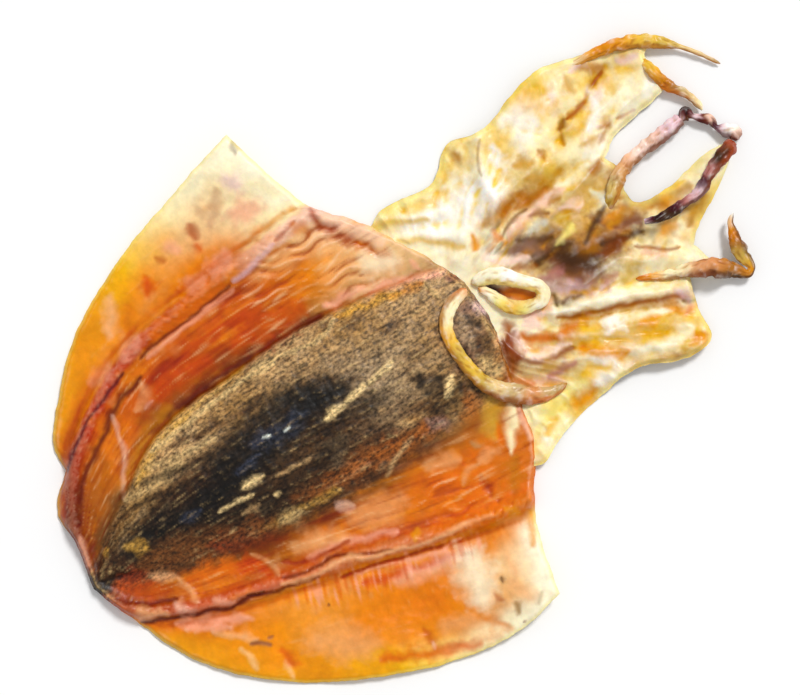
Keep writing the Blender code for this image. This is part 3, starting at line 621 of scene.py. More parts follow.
RIGHT_SIDE = (
    ("brown", 3.6, 0.8, -0.2, ((5.5, -106), (8.5, -92.5), (14.5, -80), (19, -66))),
    ("red_brown", 2.7, 0.75, -0.3, ((5.5, -112.5), (7, -107))),
    ("red_brown", 2.4, 0.7, -0.4, ((13, -84.5), (18, -76.5), (23, -66))),
    ("khaki_light", 1.8, 0.55, 0.2, ((17.5, -63), (19.5, -58))),
    ("tan", 0.6, 0.6, 0.3, ((12, -78), (11.5, -76))),
    ("orange", 2.7, 0.85, -0.4, ((16.5, -96.5), (19, -88.5), (22.5, -82))),
    ("orange_red", 2.4, 0.8, -0.4, ((22.5, -82), (25.5, -77.5), (28.5, -76.5))),
    ("russet", 2.4, 0.7, -0.3, ((6.5, -115.5), (11.5, -110), (15, -103.5))),
    ("peach", 0.6, 0.4, 0.3, ((21, -77), (26, -74), (31, -74))),
    ("peach", 0.8, 0.5, 0.5, ((14, -99.5), (18.5, -98.5), (23, -98.5))),
    ("peach", 2.1, 0.6, 0.3, ((27, -65), (29.5, -59))),
    ("peach", 1.5, 0.6, 0.3, ((9.5, -105), (12.5, -100.5))),
    ("maroon", 1.8, 0.6, -0.3, ((25, -53.5), (27.5, -48.5))),
    # Painted glint
    ("blush", 1.2, 0.5, 0.5, ((23.5, -48), (26.5, -44))),
    ("peach", 3.6, 0.4, 0.2, ((29.5, -45.5), (32.5, -37.5), (33, -32))),
    ("peach", 2.4, 0.5, 0.2, ((28.5, -58), (32.5, -52))),
    ("pink", 0.9, 0.6, 0.5, ((32, -64), (33, -55), (36.5, -46.5), (40, -38))),
    ("rust", 0.6, 0.8, -0.4, ((28.5, -71), (32, -65), (33.5, -57.5), (34.5, -51))),
    ("orange", 2.7, 0.7, -0.5, ((45, -27), (45.5, -21), (45.5, -16))),
    ("peach", 0.8, 0.5, 0.3, ((40, -13.5), (37.5, -10), (37.5, -6.5))),
    ("gold", 0.9, 0.7, 0.2, ((43, -32.5), (45, -34))),
    ("rust", 1.2, 0.7, -0.5, ((41.5, -7.5), (47, -8.5))),
    ("orange", 4.8, 0.55, -0.1, ((33, -18.5), (36.5, -16))),
    ("peach", 1.8, 0.5, 0.2, ((29.5, -19.5), (33, -10.5))),
    ("khaki_gold", 2.7, 0.7, 0, ((29, 3.5), (33, 3))),
    ("cream", 1.1, 0.9, 0.6, ((30.5, 11.5), (36, 7.5), (40, 4))),
    ("sienna", 1.1, 0.8, -0.3, ((34.5, 4.5), (41.5, -0.5), (50, -7.5))),
    ("sienna", 1.3, 0.8, -0.3, ((42.5, 7.5), (48, 6.5), (53, 2))),
    ("gold_brown", 1.8, 0.6, -0.3, ((42.5, 3.5), (51, -2.5))),
    ("peach", 1.8, 0.5, 0.4, ((36.5, -5.5), (37.5, -0.5))),
    ("tan", 0.9, 0.6, 0.3, ((31.5, -4.5), (33.5, -3))),
)
RIGHT_BAND = (
    ("red_brown", 0.6, 0.8, -0.6, ((8.5, -118), (14, -113), (17, -107.5), (19, -103))),
    ("maroon", 0.7, 0.95, -1, ((19, -115.5), (22.5, -108), (25.5, -102), (27.5, -96.5), (30.5, -91),
     (31, -85.5), (32, -80.5))),
    ("maroon", 0.6, 0.85, -0.8, ((30.5, -85), (34, -78), (36, -70.5), (38, -64.5))),
    ("red_brown", 0.5, 0.85, -0.6, ((32, -73.5), (34.5, -67), (35, -62), (36.5, -55), (39, -51.5),
     (43.5, -42))),
    ("peach", 0.7, 0.7, 0.7, ((33.5, -75), (37, -65), (37.5, -58), (38, -53.5), (41.5, -50),
     (44, -42), (47, -35.5), (49, -28), (49.5, -22), (52.5, -12))),
    ("pink", 0.6, 0.7, 0.5, ((43.5, -55), (48, -42.5), (52, -33), (53, -23.5))),
    ("rust", 0.5, 0.7, -0.5, ((42, -59), (45.5, -47), (49, -37), (51.5, -29))),
    ("orange_red", 1.2, 0.85, -0.5, ((47.5, -54.5), (51, -44.5), (54, -34.5), (55.5, -29.5))),
    ("blush", 1.5, 0.5, 0.5, ((20, -104), (23.5, -101.5))),
    ("peach", 1.5, 0.6, 0.3, ((16, -114.5), (20.5, -108.5))),
    ("pink", 1.2, 0.6, 0.3, ((26.5, -93.5), (29.5, -90))),
    ("orange", 1.2, 0.7, -0.3, ((51.5, -17.5), (53, -12.5))),
)
RIGHT_FLAP = (
    ("pink", 1.2, 0.7, 0.5, ((25.5, -107.5), (31, -97), (36, -89))),
    ("peach", 0.9, 0.7, 0.4, ((33.5, -100), (42.5, -91))),
    ("pink", 0.9, 0.6, 0.4, ((28, -106), (35, -95.5))),
    ("purple", 0.7, 0.95, -0.4, ((42.5, -92.5), (46.5, -88.5))),
    ("purple", 0.7, 0.8, -0.3, ((44.5, -87.5), (44.5, -86))),
    ("biscuit", 0.9, 0.6, 0.4, ((42.5, -95.5), (46, -95.5), (50, -95.5))),
    ("biscuit", 0.9, 0.5, 0.3, ((53, -87), (58.5, -88.5))),
    ("blush", 2.1, 0.5, 0.3, ((52.5, -46), (54.5, -41), (56, -32), (57.5, -23))),
    ("pale", 4.8, 0.7, 0.2, ((59, -24), (71, -28))),
    ("rust", 1.5, 0.6, -0.2, ((69, -48), (72.5, -48))),
    # Painted glint
    ("blush", 0.5, 0.5, 0.5, ((73.5, -48), (75.5, -48.5))),
    ("orange_red", 1.5, 0.65, -0.2, ((50.5, -86), (55.5, -85))),
    ("orange_red", 1.5, 0.75, -0.3, ((69, -63), (74, -54), (82, -37))),
    ("orange", 9, 0.5, 0, ((57, -61), (62.5, -40))),
    ("peach", 5.4, 0.5, 0.2, ((53.5, -75.5), (63, -65))),
    ("peach", 2.7, 0.5, 0.3, ((72, -42), (75, -35))),
    ("dot", 0.4, 0.8, -0.1, ((46.5, -67), (47, -67))),
    ("umber", 0.8, 0.8, -0.2, ((69.5, -20), (70.5, -20.5))),
    ("khaki", 1.1, 0.85, -0.2, ((77.5, -21.5), (80.5, -21.5))),
    ("dot", 0.4, 0.7, 0, ((84, -22), (84, -21.5))),
    ("grey_tan", 0.9, 0.5, 0.2, ((79.5, -13), (81.5, -15.5))),
    ("peach", 2.4, 0.55, 0.3, ((73.5, -18), (79, -16.5))),
    ("rust", 0.9, 0.5, 0, ((72.5, -24.5), (74.5, -23.5))),
    ("gold", 1.2, 0.7, -0.3, ((58.5, -1.5), (66.5, -6.5))),
    ("gold", 1.5, 0.6, -0.2, ((53.5, -6.5), (57, -5))),
    ("peach", 1.2, 0.6, 0.3, ((63.5, -13.5), (71.5, -16.5))),
    ("amber", 1.8, 0.7, -0.2, ((77, -31), (82.5, -27))),
    ("peach", 1.5, 0.6, 0.3, ((80, -38.5), (83.5, -30))),
)
NECK_MARKS = (
    ("plum_grey", 2.7, 0.8, 0, ((-2.5, 19), (0, 22.5), (4.5, 23.5))),
    ("lilac", 1.2, 0.6, 0.2, ((-2, 20), (1.5, 21.5))),
    ("plum", 1.2, 0.7, -0.2, ((3.5, 21), (6, 23.5))),
    ("grey_tan", 2.4, 0.7, 0.1, ((-1, 14.5), (4.5, 12.5), (8, 13))),
    ("umber", 1, 0.8, -0.3, ((6, 15.5), (11, 13))),
    ("ink_brown", 1.2, 0.7, -0.2, ((-0.5, 16), (4, 17.5))),
    ("bark", 1.5, 0.7, -0.1, ((7.5, 18), (12, 16))),
    ("peach", 0.7, 0.85, 0.4, ((6, 22.5), (9.5, 21), (12, 18.5))),
    ("khaki_light", 1.8, 0.8, 0.2, ((13, 12.5), (17, 13), (19.5, 14.5))),
    ("amber_brown", 1.8, 0.9, -0.1, ((8.5, 23), (14.5, 20), (22.5, 15.5))),
    ("umber", 0.9, 0.8, -0.3, ((6, 9.5), (11.5, 9))),
    ("cream_tan", 1, 0.9, 0.5, ((11.5, 2.5), (13.5, 0), (15.5, -2.5))),
    ("amber_brown", 2.4, 0.7, 0, ((20, 2.5), (24.5, 2), (27, -2))),
    ("khaki_gold", 2.4, 0.8, 0, ((24.5, 7.5), (30, 5))),
    ("cream", 1.2, 0.6, 0.4, ((28.5, 11.5), (33.5, 8.5), (38.5, 4))),
    ("orange", 1.5, 0.8, -0.2, ((32.5, 5.5), (37, 3))),
    ("blush", 0.9, 0.5, 0.4, ((31.5, 13), (36.5, 11.5), (41, 11))),
    ("sienna", 1.2, 0.85, -0.3, ((36, 9), (41.5, 8))),
)
HEAD_SHADES = (
    ("gold_bright", 4.8, 0.6, 0.1, ((-38.5, 48.5), (-35, 54))),
    ("gold_bright", 4.8, 0.5, 0, ((-47, 66.5), (-43.5, 75))),
    ("olive_gold", 5.4, 0.6, 0.1, ((-25.5, 51.5), (-21.5, 61.5))),
    ("blush", 3.9, 0.4, 0.1, ((-42.5, 63.5), (-38.5, 73))),
    ("pale", 4.5, 0.8, 0.4, ((-28.5, 87.5), (-29, 95.5))),
    ("white", 6.6, 0.8, 0.2, ((-31, 19), (-27.5, 29), (-26.5, 44))),
    ("khaki_light", 4.5, 0.8, 0, ((-10.5, 60.5), (-10.5, 71.5), (-5.5, 72))),
    ("pale", 6, 0.6, 0.1, ((15.5, 56), (15, 69), (15.5, 83))),
    ("ochre", 2.7, 0.8, -0.2, ((-19.5, 36.5), (-19.5, 46), (-18, 57.5))),
    ("ochre", 6.9, 0.9, 0.2, ((-6, 50), (0, 57.5), (4, 65.5))),
    ("brown", 5.4, 0.9, -0.2, ((2.5, 47.5), (6, 55.5), (7.5, 64.5))),
    ("purple_brown", 4.2, 0.85, -0.2, ((-9, 39), (-3.5, 45.5), (4, 48), (10.5, 53))),
    ("umber", 3.3, 0.5, -0.1, ((-3, 51.5), (3, 51.5), (9, 56))),
    ("mauve", 3.6, 0.5, 0.1, ((3.5, 39), (9, 44), (15, 53))),
    ("ochre", 2.4, 0.8, -0.2, ((-0.5, 73), (3.5, 80.5), (6, 91.5))),
    ("purple_brown", 2.4, 0.85, -0.2, ((-2.5, 63.5), (1.5, 68), (5.5, 75.5))),
    ("gold_brown", 2.1, 0.6, -0.2, ((18, 41.5), (24, 55.5), (32, 72))),
    ("gold_bright", 4.2, 0.6, 0.1, ((26, 46.5), (35.5, 62), (41.5, 69))),
    ("yellow", 3, 0.6, 0.1, ((18, 85.5), (15, 92.5), (11.5, 99.5))),
    ("straw", 2.4, 0.5, 0.1, ((-40, 14), (-38.5, 22.5), (-38, 30))),
    ("white", 3.6, 0.6, 0.2, ((-41.5, 59), (-36.5, 64.5))),
    ("ochre", 7, 0.35, 0, ((24, 40), (30, 52), (40, 64))),
    ("khaki_light", 5, 0.4, 0, ((20, 30), (32, 40), (40, 50))),
    ("straw", 4.2, 0.8, 0, ((38.5, 17.5), (37.5, 24), (35.5, 30.5))),
    ("cream_tan", 4.2, 0.7, 0, ((22, 19.5), (26, 26.5), (29.5, 33))),
    # Painted shadow on the web along the mantle's front edge
    ("amber_brown", 2.4, 0.95, -0.2, ((9, 24.5), (15, 21.5), (22, 17))),
    ("pale", 3.3, 0.8, 0.1, ((44, 19.5), (43.5, 25.5))),
)
HEAD_MARKS = (
    ("ochre", 2.1, 0.85, -0.2, ((-42.5, 40.5), (-40.5, 41))),
    ("gold_spot", 0.8, 0.8, 0.3, ((-48, 46), (-44, 45))),
    ("khaki", 0.4, 0.6, -0.4, ((-41.5, 49.5), (-37, 45.5), (-32, 43.5))),
    ("gold_bright", 1.8, 0.8, 0.2, ((-46.5, 70), (-43, 73.5))),
    ("gold_spot", 1.8, 0.75, -0.1, ((-41, 80.5), (-38, 80.5))),
    ("gold_brown", 2.1, 0.85, 0.3, ((-41.5, 87.5), (-38, 91.5))),
    ("lilac", 0.9, 0.6, 0.2, ((-42.5, 83), (-43, 87.5))),
    ("rust", 0.7, 0.8, -0.7, ((-37, 91), (-35.5, 86.5), (-33, 82), (-32, 78.5), (-31.5, 74.5))),
    ("red_brown", 1, 0.75, -0.4, ((-32, 73.5), (-30.5, 71))),
    ("gold_brown", 0.5, 0.6, -0.3, ((-29.5, 71), (-25.5, 69))),
    ("pink_white", 0.9, 0.7, 0.4, ((-34.5, 92), (-32.5, 87.5), (-30.5, 82.5))),
    ("gold_brown", 1.6, 0.9, -0.1, ((-23.5, 81.5), (-23, 84))),
    ("gold_brown", 0.8, 0.8, -0.3, ((-21.5, 81.5), (-20, 78))),
    ("gold_spot", 1.5, 0.8, 0, ((-22, 74.5), (-21.5, 77))),
    ("gold_brown", 1.5, 0.95, -0.3, ((-14.5, 72), (-16, 75.5))),
    ("gold_spot", 1.3, 0.9, -0.2, ((-29.5, 53.5), (-26.5, 58.5))),
    ("gold_brown", 1.1, 0.8, -0.2, ((-28.5, 62), (-25.5, 62))),
    ("gold_spot", 1.8, 0.75, -0.1, ((-23.5, 55.5), (-18.5, 60.5), (-20, 64))),
    ("gold_bright", 0.9, 0.85, 0.2, ((-15.5, 60.5), (-13.5, 64))),
    ("pale", 1.2, 0.8, 0.4, ((-17, 60.5), (-16, 66.5), (-17.5, 72.5), (-19, 79))),
    ("gold_brown", 1.5, 0.85, -0.3, ((-20, 42), (-19.5, 49), (-17.5, 57))),
    ("blush", 1.3, 0.8, 0.4, ((-13, 40), (-14.5, 47.5), (-15.5, 55.5), (-15, 61.5))),
    ("brown", 0.5, 0.7, -0.4, ((-13.5, 37.5), (-16, 43.5), (-16.5, 49))),
    ("apricot", 1.2, 0.8, 0.1, ((-16, 37), (-13.5, 37.5))),
    ("gold", 1.3, 0.9, -0.3, ((-19, 31), (-15.5, 30))),
    ("chestnut", 1, 0.7, -0.3, ((-14, 49), (-12, 53.5))),
    ("ochre", 1, 0.85, 0, ((-14.5, 56), (-13.5, 59))),
    ("pink_white", 1.2, 0.7, 0.3, ((-10, 58), (-8.5, 63.5))),
    ("grey_white", 1.5, 0.55, 0.2, ((-10.5, 45.5), (-9, 51))),
    ("umber", 1.2, 0.85, -0.4, ((-10, 42.5), (-7, 45.5), (-6, 50))),
    ("plum_grey", 1.9, 0.85, -0.2, ((-8, 39), (-6.5, 44), (-3.5, 44.5))),
    ("olive_gold", 1.8, 0.8, 0, ((-8.5, 55), (-4.5, 57.5))),
    ("straw", 0.9, 0.8, 0.3, ((-4.5, 57.5), (-3.5, 54), (-2.5, 50))),
    ("gold_brown", 2.4, 0.8, 0.1, ((4, 55), (2.5, 60))),
    ("umber", 1, 0.85, -0.4, ((-3.5, 68), (-1, 62.5), (1.5, 57))),
    ("purple_brown", 1.8, 0.8, -0.2, ((3.5, 67.5), (6, 74))),
    ("ochre", 1.2, 0.7, 0.2, ((1.5, 67), (1, 71.5), (2, 75))),
    ("umber", 0.7, 0.85, -0.5, ((5, 60.5), (7, 66.5), (8.5, 73))),
    ("chestnut", 1.5, 0.7, 0.1, ((7.5, 58), (7.5, 62.5), (8, 68))),
    ("umber", 2.4, 0.85, -0.3, ((1, 48.5), (5.5, 52), (8.5, 56.5))),
    ("umber", 0.9, 0.85, -0.4, ((-1.5, 42), (-1, 46))),
    ("mauve", 1.5, 0.6, 0.1, ((3, 42.5), (5, 47))),
    ("amber_brown", 1, 0.7, -0.2, ((-4.5, 35.5), (-2.5, 38), (-1, 41.5))),
    ("pink_white", 1, 0.8, 0.3, ((-11.5, 30.5), (-6.5, 36.5), (-4.5, 41.5))),
    # Painted shadow of the curled tentacle inside its loop
    ("maroon", 1.8, 1, -0.5, ((-4, 26), (-1.5, 28.5), (1.5, 30))),
    ("ink_brown", 0.9, 0.7, -0.3, ((-3.5, 27), (0, 29))),
    ("amber", 2.7, 1, -0.3, ((1, 31), (4, 33.5), (6, 36.5))),
    ("umber", 1.2, 0.85, -0.4, ((9.5, 40.5), (12.5, 40))),
    ("bark", 1.3, 0.85, -0.2, ((12.5, 42), (14, 47))),
    ("lilac", 1.8, 0.6, 0.2, ((9, 43.5), (13, 50))),
    ("pale", 1.7, 0.9, 0.5, ((15, 41), (17, 45.5), (19, 52), (21.5, 60.5), (23.5, 68))),
    ("amber_brown", 0.7, 0.85, -0.4, ((15.5, 38), (19, 44.5), (21.5, 51.5), (26, 61.5), (33, 74.5))),
    ("gold_brown", 0.7, 0.7, -0.3, ((22.5, 49), (28, 60), (32.5, 70))),
    ("mauve", 1.8, 0.65, 0.2, ((16, 54.5), (15, 59))),
    ("olive_gold", 2.7, 0.85, 0.2, ((17, 62), (15.5, 67.5))),
    ("purple", 0.5, 0.8, -0.3, ((11.5, 69.5), (14.5, 73), (18, 77), (19, 80))),
    ("pink", 1.2, 0.5, 0.1, ((14.5, 70), (18.5, 75))),
    ("maroon", 0.9, 0.85, -0.3, ((33, 72), (35, 76))),
    ("lilac", 1.2, 0.7, 0.3, ((30, 71.5), (33, 77))),
    ("orange", 1.8, 0.8, 0.1, ((36, 71), (36.5, 74.5))),
    ("gold", 1.5, 0.85, 0.1, ((32.5, 67), (34.5, 70))),
    ("gold", 1.5, 0.8, 0.1, ((31.5, 57.5), (32.5, 63))),
    ("pale", 1.2, 0.8, 0.4, ((24, 48), (27.5, 56.5), (32, 66))),
    ("amber", 1.2, 0.7, -0.2, ((45, 66), (45, 71.5))),
    ("ochre", 1.2, 0.8, -0.3, ((11.5, 95.5), (13.5, 90.5), (15, 85.5))),
    ("gold", 1.8, 0.7, -0.1, ((12, 78.5), (12.5, 82.5))),
    ("yellow", 0.9, 0.9, 0.3, ((2.5, 85), (3.5, 92))),
    ("gold_brown", 1, 0.7, -0.1, ((2, 78), (6.5, 83.5))),
    ("olive_gold", 1.1, 0.8, -0.3, ((-38.5, 9), (-35, 16), (-31, 22.5))),
    ("gold_bright", 0.9, 0.7, -0.2, ((-31, 12.5), (-25, 20), (-18, 27))),
    ("gold_bright", 1.2, 0.6, -0.1, ((-37, 19), (-34.5, 27), (-34.5, 32.5))),
    ("lilac", 1.2, 0.7, 0.2, ((-37, 97), (-35, 102))),
    ("gold_spot", 2.1, 0.8, 0.1, ((-41, 97.5), (-37.5, 105.5), (-36, 109))),
    ("mauve", 0.5, 0.7, -0.2, ((-23, 87), (-22, 92.5))),
    ("gold_bright", 1.8, 0.6, 0, ((-35, 91.5), (-30.5, 90.5))),
    ("gold_brown", 1.5, 0.9, 0.1, ((-11.5, 79.5), (-8.5, 75), (-4, 73.5))),
    ("white", 1.8, 0.8, 0.4, ((-36.5, 51.5), (-30.5, 50))),
    ("white", 2.1, 0.7, 0.3, ((-31, 39), (-25, 42))),
    ("white", 1.8, 0.7, 0.3, ((-34.5, 85), (-28.5, 83), (-25, 78.5))),
    ("grey_white", 1.2, 0.6, 0.2, ((-9.5, 68.5), (-4, 70))),
    ("pale", 1, 0.85, 0.3, ((11, 25), (12, 27), (14.5, 30), (15.5, 33.5))),
    # Painted highlight on the pale edge of the fold
    ("pink_white", 1.2, 0.85, 0.4, ((11.5, 25), (15, 24.5), (18.5, 25), (21, 26.5), (22.5, 30), (23.5, 34),
     (24, 37))),
    ("sienna", 1.8, 0.95, -0.2, ((14.5, 27), (17.5, 29), (19, 33.5))),
    ("amber", 2.1, 0.9, -0.1, ((20, 35), (20.5, 39.5), (21.5, 44))),
    # Painted shadow below the fold and along the mantle's front edge
    ("chestnut", 2.1, 0.95, -0.3, ((12, 23), (15, 21.5), (18.5, 21.5))),
    ("chestnut", 0.9, 0.7, -0.1, ((11, 23), (14.5, 20), (19, 17.5))),
    ("chestnut", 1, 0.85, -0.4, ((19, 21.5), (22, 24.5), (24.5, 28.5), (25, 32.5), (25.5, 37))),
    ("khaki_gold", 1.8, 0.8, 0, ((25, 25.5), (26.5, 29))),
    ("blush", 1.5, 0.8, 0.2, ((26.5, 21.5), (30, 24.5), (31, 28.5))),
    ("mauve", 1.2, 0.8, 0, ((29, 26), (29, 30.5), (29, 34.5))),
    ("sienna", 1.2, 0.8, -0.1, ((23.5, 17), (27.5, 20.5))),
    ("blush", 2.4, 0.8, 0.1, ((11, 30), (11, 34.5), (10, 38))),
    ("clay", 0.9, 0.8, -0.2, ((10, 32), (12.5, 33.5))),
    ("pink_white", 1.2, 0.8, 0.4, ((11, 28.5), (12, 32), (12, 35))),
    ("gold_bright", 2.7, 0.9, 0, ((22, 43), (28, 43.5))),
    ("white", 1.5, 0.7, 0.3, ((27.5, 48), (25.5, 51.5), (29.5, 52))),
    ("gold", 1.5, 0.95, -0.1, ((27, 38.5), (31.5, 43), (36, 49))),
    ("white", 1.5, 0.7, 0.3, ((32, 39.5), (36, 44))),
    ("gold_bright", 1.5, 0.8, -0.1, ((34, 34.5), (34.5, 39), (36, 42.5))),
    ("white", 1.5, 0.7, 0.3, ((38, 36), (39, 41))),
    ("gold", 2.7, 0.95, -0.1, ((40, 34), (41, 29.5), (42, 26))),
    ("yellow", 1.2, 0.8, 0, ((42, 16.5), (40, 20.5))),
    ("gold_brown", 1.2, 0.85, 0.2, ((40.5, 47.5), (43, 55), (46, 62), (47.5, 67.5))),
    ("gold", 2.1, 0.9, 0.1, ((43, 68.5), (46.5, 69.5))),
    ("pale", 1.5, 0.85, 0.3, ((37.5, 53), (40.5, 62), (40.5, 69.5))),
    ("gold_bright", 1.5, 0.8, 0.1, ((35.5, 55), (38, 62.5))),
)

# The marks of each piece, in the order in which they are painted
MANTLE_MARKS = (
    LEFT_FLAP + LEFT_BAND + LEFT_SIDE + TAIL_MARKS + SHIELD
    + RIGHT_SIDE + RIGHT_BAND + RIGHT_FLAP + NECK_MARKS
)
WEB_MARKS = HEAD_SHADES + HEAD_MARKS


def smooth_value(at, knots, values):
    """A smooth curve through values given at rising knots, read at the places in at."""
    at = np.clip(at, knots[0], knots[-1])
    slopes = np.gradient(values, knots, axis=0)
    i = np.clip(np.searchsorted(knots, at, side="right") - 1, 0, len(knots) - 2)
    gap = knots[i + 1] - knots[i]
    t = (at - knots[i]) / gap
    if np.ndim(values) == 2:
        gap = gap[:, None]
        t = t[:, None]
    rise = 3 * t ** 2 - 2 * t ** 3
    start_bend = t * (1 - t) ** 2 * gap * slopes[i]
    end_bend = t ** 2 * (1 - t) * gap * slopes[i + 1]
    return values[i] * (1 - rise) + values[i + 1] * rise + start_bend - end_bend


def smooth_line(points, spacing):
    """Points about one spacing apart on a smooth curve through the given points."""
    points = np.array(points, float)
    lengths = np.linalg.norm(np.diff(points[:, :2], axis=0), axis=1)
    knots = np.concatenate(([0.0], np.cumsum(lengths)))
    count = max(2, round(knots[-1] / spacing) + 1)
    return smooth_value(np.linspace(0, knots[-1], count), knots, points)


def smooth_step(value, low, high):
    """0 below low, 1 above high and a soft rise between them."""
    t = np.clip((value - low) / (high - low), 0, 1)
    return t * t * (3 - 2 * t)


def mound(distance, half_width):
    """1 at distance 0, falling to nothing over about twice the half width."""
    return np.exp(-((distance / half_width) ** 2))


def outline(stretches, spacing):
    """A closed outline made of smooth stretches that meet at corners."""
    return np.concatenate([smooth_line(points, spacing)[:-1] for points in stretches])


def mantle_outline(spacing):
    """The mantle's outline as a closed row of points."""
    return outline((LEFT_FLAP_EDGE, TAIL_LEFT_EDGE, RIGHT_FLAP_EDGE, FRONT_EDGE), spacing)


def head_outline(spacing):
    """The web's outline as a closed row of points."""
    return outline(
        (HEAD_LEFT_EDGE, HEAD_TOP_EDGE, FIRST_GAP_EDGE, ARM_ROOT_EDGE, SECOND_GAP_EDGE, RIGHT_WEB_EDGE,
         RIGHT_TIP_EDGE, RIGHT_NOTCH_EDGE, HEAD_RIGHT_EDGE, HEAD_ROOT_EDGE),
        spacing,
    )


def distance_to_line(line, x, y):
    """The distance from each place to a line of short straight pieces."""
    nearest = np.full(x.shape, np.inf)
    for start, end in zip(line[:-1], line[1:]):
        run = end[:2] - start[:2]
        t = np.clip(((x - start[0]) * run[0] + (y - start[1]) * run[1]) / (run @ run), 0, 1)
        gap = np.hypot(x - start[0] - t * run[0], y - start[1] - t * run[1])
        nearest = np.minimum(nearest, gap)
    return nearest


def nearest_on_line(line, x, y):
    """The distance from each place to a line, and how far along the line its nearest place is."""
    nearest = np.full(x.shape, np.inf)
    reached = np.zeros(x.shape)
    passed = 0.0
    for start, end in zip(line[:-1], line[1:]):
        run = end - start
        length = np.hypot(*run)
        t = np.clip(((x - start[0]) * run[0] + (y - start[1]) * run[1]) / length ** 2, 0, 1)
        gap = np.hypot(x - start[0] - t * run[0], y - start[1] - t * run[1])
        closer = gap < nearest
        nearest = np.where(closer, gap, nearest)
        reached = np.where(closer, passed + t * length, reached)
        passed += length
    return nearest, np.minimum(reached, passed - reached)


def inside(shape, x, y):
    """Whether each place is inside a closed outline."""
    result = np.zeros(x.shape, bool)
    for (ax, ay), (bx, by) in zip(shape, np.roll(shape, -1, axis=0)):
        if ay != by:
            crosses = (ay > y) != (by > y)
            result ^= crosses & (x < (bx - ax) * (y - ay) / (by - ay) + ax)
    return result


def station(column, y):
    """One column of the mantle's stations at each y."""
    return smooth_value(y, STATIONS[:, 0], STATIONS[:, column])


def band_distances(x, y):
    """Distances across from the left and the right fin band, positive on the flap's side."""
    distances = []
    for column, side in ((1, -1), (4, 1)):
        slope = station(column, y + 1) - station(column, y)
        distances.append(side * (x - station(column, y)) / np.sqrt(1 + slope ** 2))
    return distances


def web_places(x, y):
    """Distance from the neck and turn about it, which the web's creases follow."""
    return np.hypot(x - NECK[0], y - NECK[1]), np.arctan2(x - NECK[0], y - NECK[1])


def flow(x, y):
    """How far out each place lies between the fin bands, so that lines of one flow close up at the tail."""
    left = station(1, y)
    right = station(4, y)
    return (x - (left + right) / 2) / np.maximum((right - left) / 2, 18) * 50


def flap_reach(x, y):
    """How far a place lies out on a flap, beyond its fin band."""
    left, right = band_distances(x, y)
    return np.maximum(np.maximum(left, right), 0)


def mantle_under(x, y):
    """The mantle's underside: flat under the body, lifted in soft waves under the flaps."""
    reach = flap_reach(x, y)
    waves = np.sin(y / LONG_WAVE + np.sign(x) * 0.8)
    waves = waves + SHORT_WAVE_SHARE * np.sin(y / SHORT_WAVE + reach / WAVE_SLANT + 2)
    lift = smooth_step(reach, *LIFT_START) * (FLAP_LIFT + FLAP_WAVE * waves) / 2
    for corner_x, corner_y, height, size in CORNERS:
        corner = mound(np.hypot(x - corner_x, y - corner_y), size)
        lift = lift + height * corner * smooth_step(reach, *CORNER_START)
    return np.maximum(lift, 0)


def shield_height(x, y):
    """The domed shield along the back, with its steep left rim and its soft right edge."""
    left, right, height = (station(column, y) for column in (2, 3, 5))
    across = (x - (left + right) / 2) / np.maximum((right - left) / 2, 1)
    dome = height * (1 - (1 - RIM_SHARE) * np.clip(np.abs(across), 0, 1) ** 2)
    held = smooth_step(left - x, LEFT_RIM_SLOPE, 0) * smooth_step(x - right, RIGHT_RIM_SLOPE, 0)
    return dome, held


def mantle_top(x, y):
    """The mantle's upper side."""
    left, right = band_distances(x, y)
    reach = flap_reach(x, y)
    under = mantle_under(x, y)
    flap = FLAP_THICKNESS + (EDGE_THICKNESS - FLAP_THICKNESS) * smooth_step(reach, *THINNING)
    side = under + flap + (SIDE_HEIGHT - FLAP_THICKNESS) * smooth_step(reach, *SIDE_STEP)
    side = side - VALLEY_DEPTH * mound(station(2, y) - x - VALLEY_WIDTH / 2, VALLEY_WIDTH)
    for distance in (left, right):
        side = side + BAND_HEIGHT * mound(distance, BAND_HALF_WIDTH)
        side = side - CREASE_DEPTH * mound(distance - CREASE_OFFSET, BAND_HALF_WIDTH * CREASE_SHARE)
    dome, held = shield_height(x, y)
    return side + np.maximum(dome - side, 0) * held


def fold_height(x, y):
    """All folds of the head together."""
    total = np.zeros(x.shape)
    for crest, half_width, height in FOLDS:
        line = smooth_line(crest, HEAD_SPACING)
        total = total + height * mound(distance_to_line(line, x, y), half_width)
    return total


def head_under(x, y):
    """The web's underside, in waves that fan out from the neck and follow its folds."""
    radius, turn = web_places(x, y)
    waves = RAY_WAVE * np.sin(RAYS * turn + 0.7) + RING_WAVE * np.sin(radius / RING_WAVE_LENGTH + 3 * turn)
    lift = (HEAD_LIFT + waves) * smooth_step(radius, *WEB_LIFT_START) + FOLD_LIFT_SHARE * fold_height(x, y)
    return np.maximum(lift, FLOOR_GAP * smooth_step(radius, *FLOOR_START))


def head_top(x, y):
    """The web's upper side."""
    radius, _ = web_places(x, y)
    mass_x, mass_y, mass_height, mass_size = MOUTH_MASS
    mass = mass_height * mound(np.hypot(x - mass_x, y - mass_y), mass_size)
    thin = HEAD_THICKNESS + (HEAD_EDGE_THICKNESS - HEAD_THICKNESS) * smooth_step(radius, *WEB_THINNING)
    folds = (1 - FOLD_LIFT_SHARE) * fold_height(x, y)
    return head_under(x, y) + thin + mass + np.maximum(folds, LEAST_FOLD)


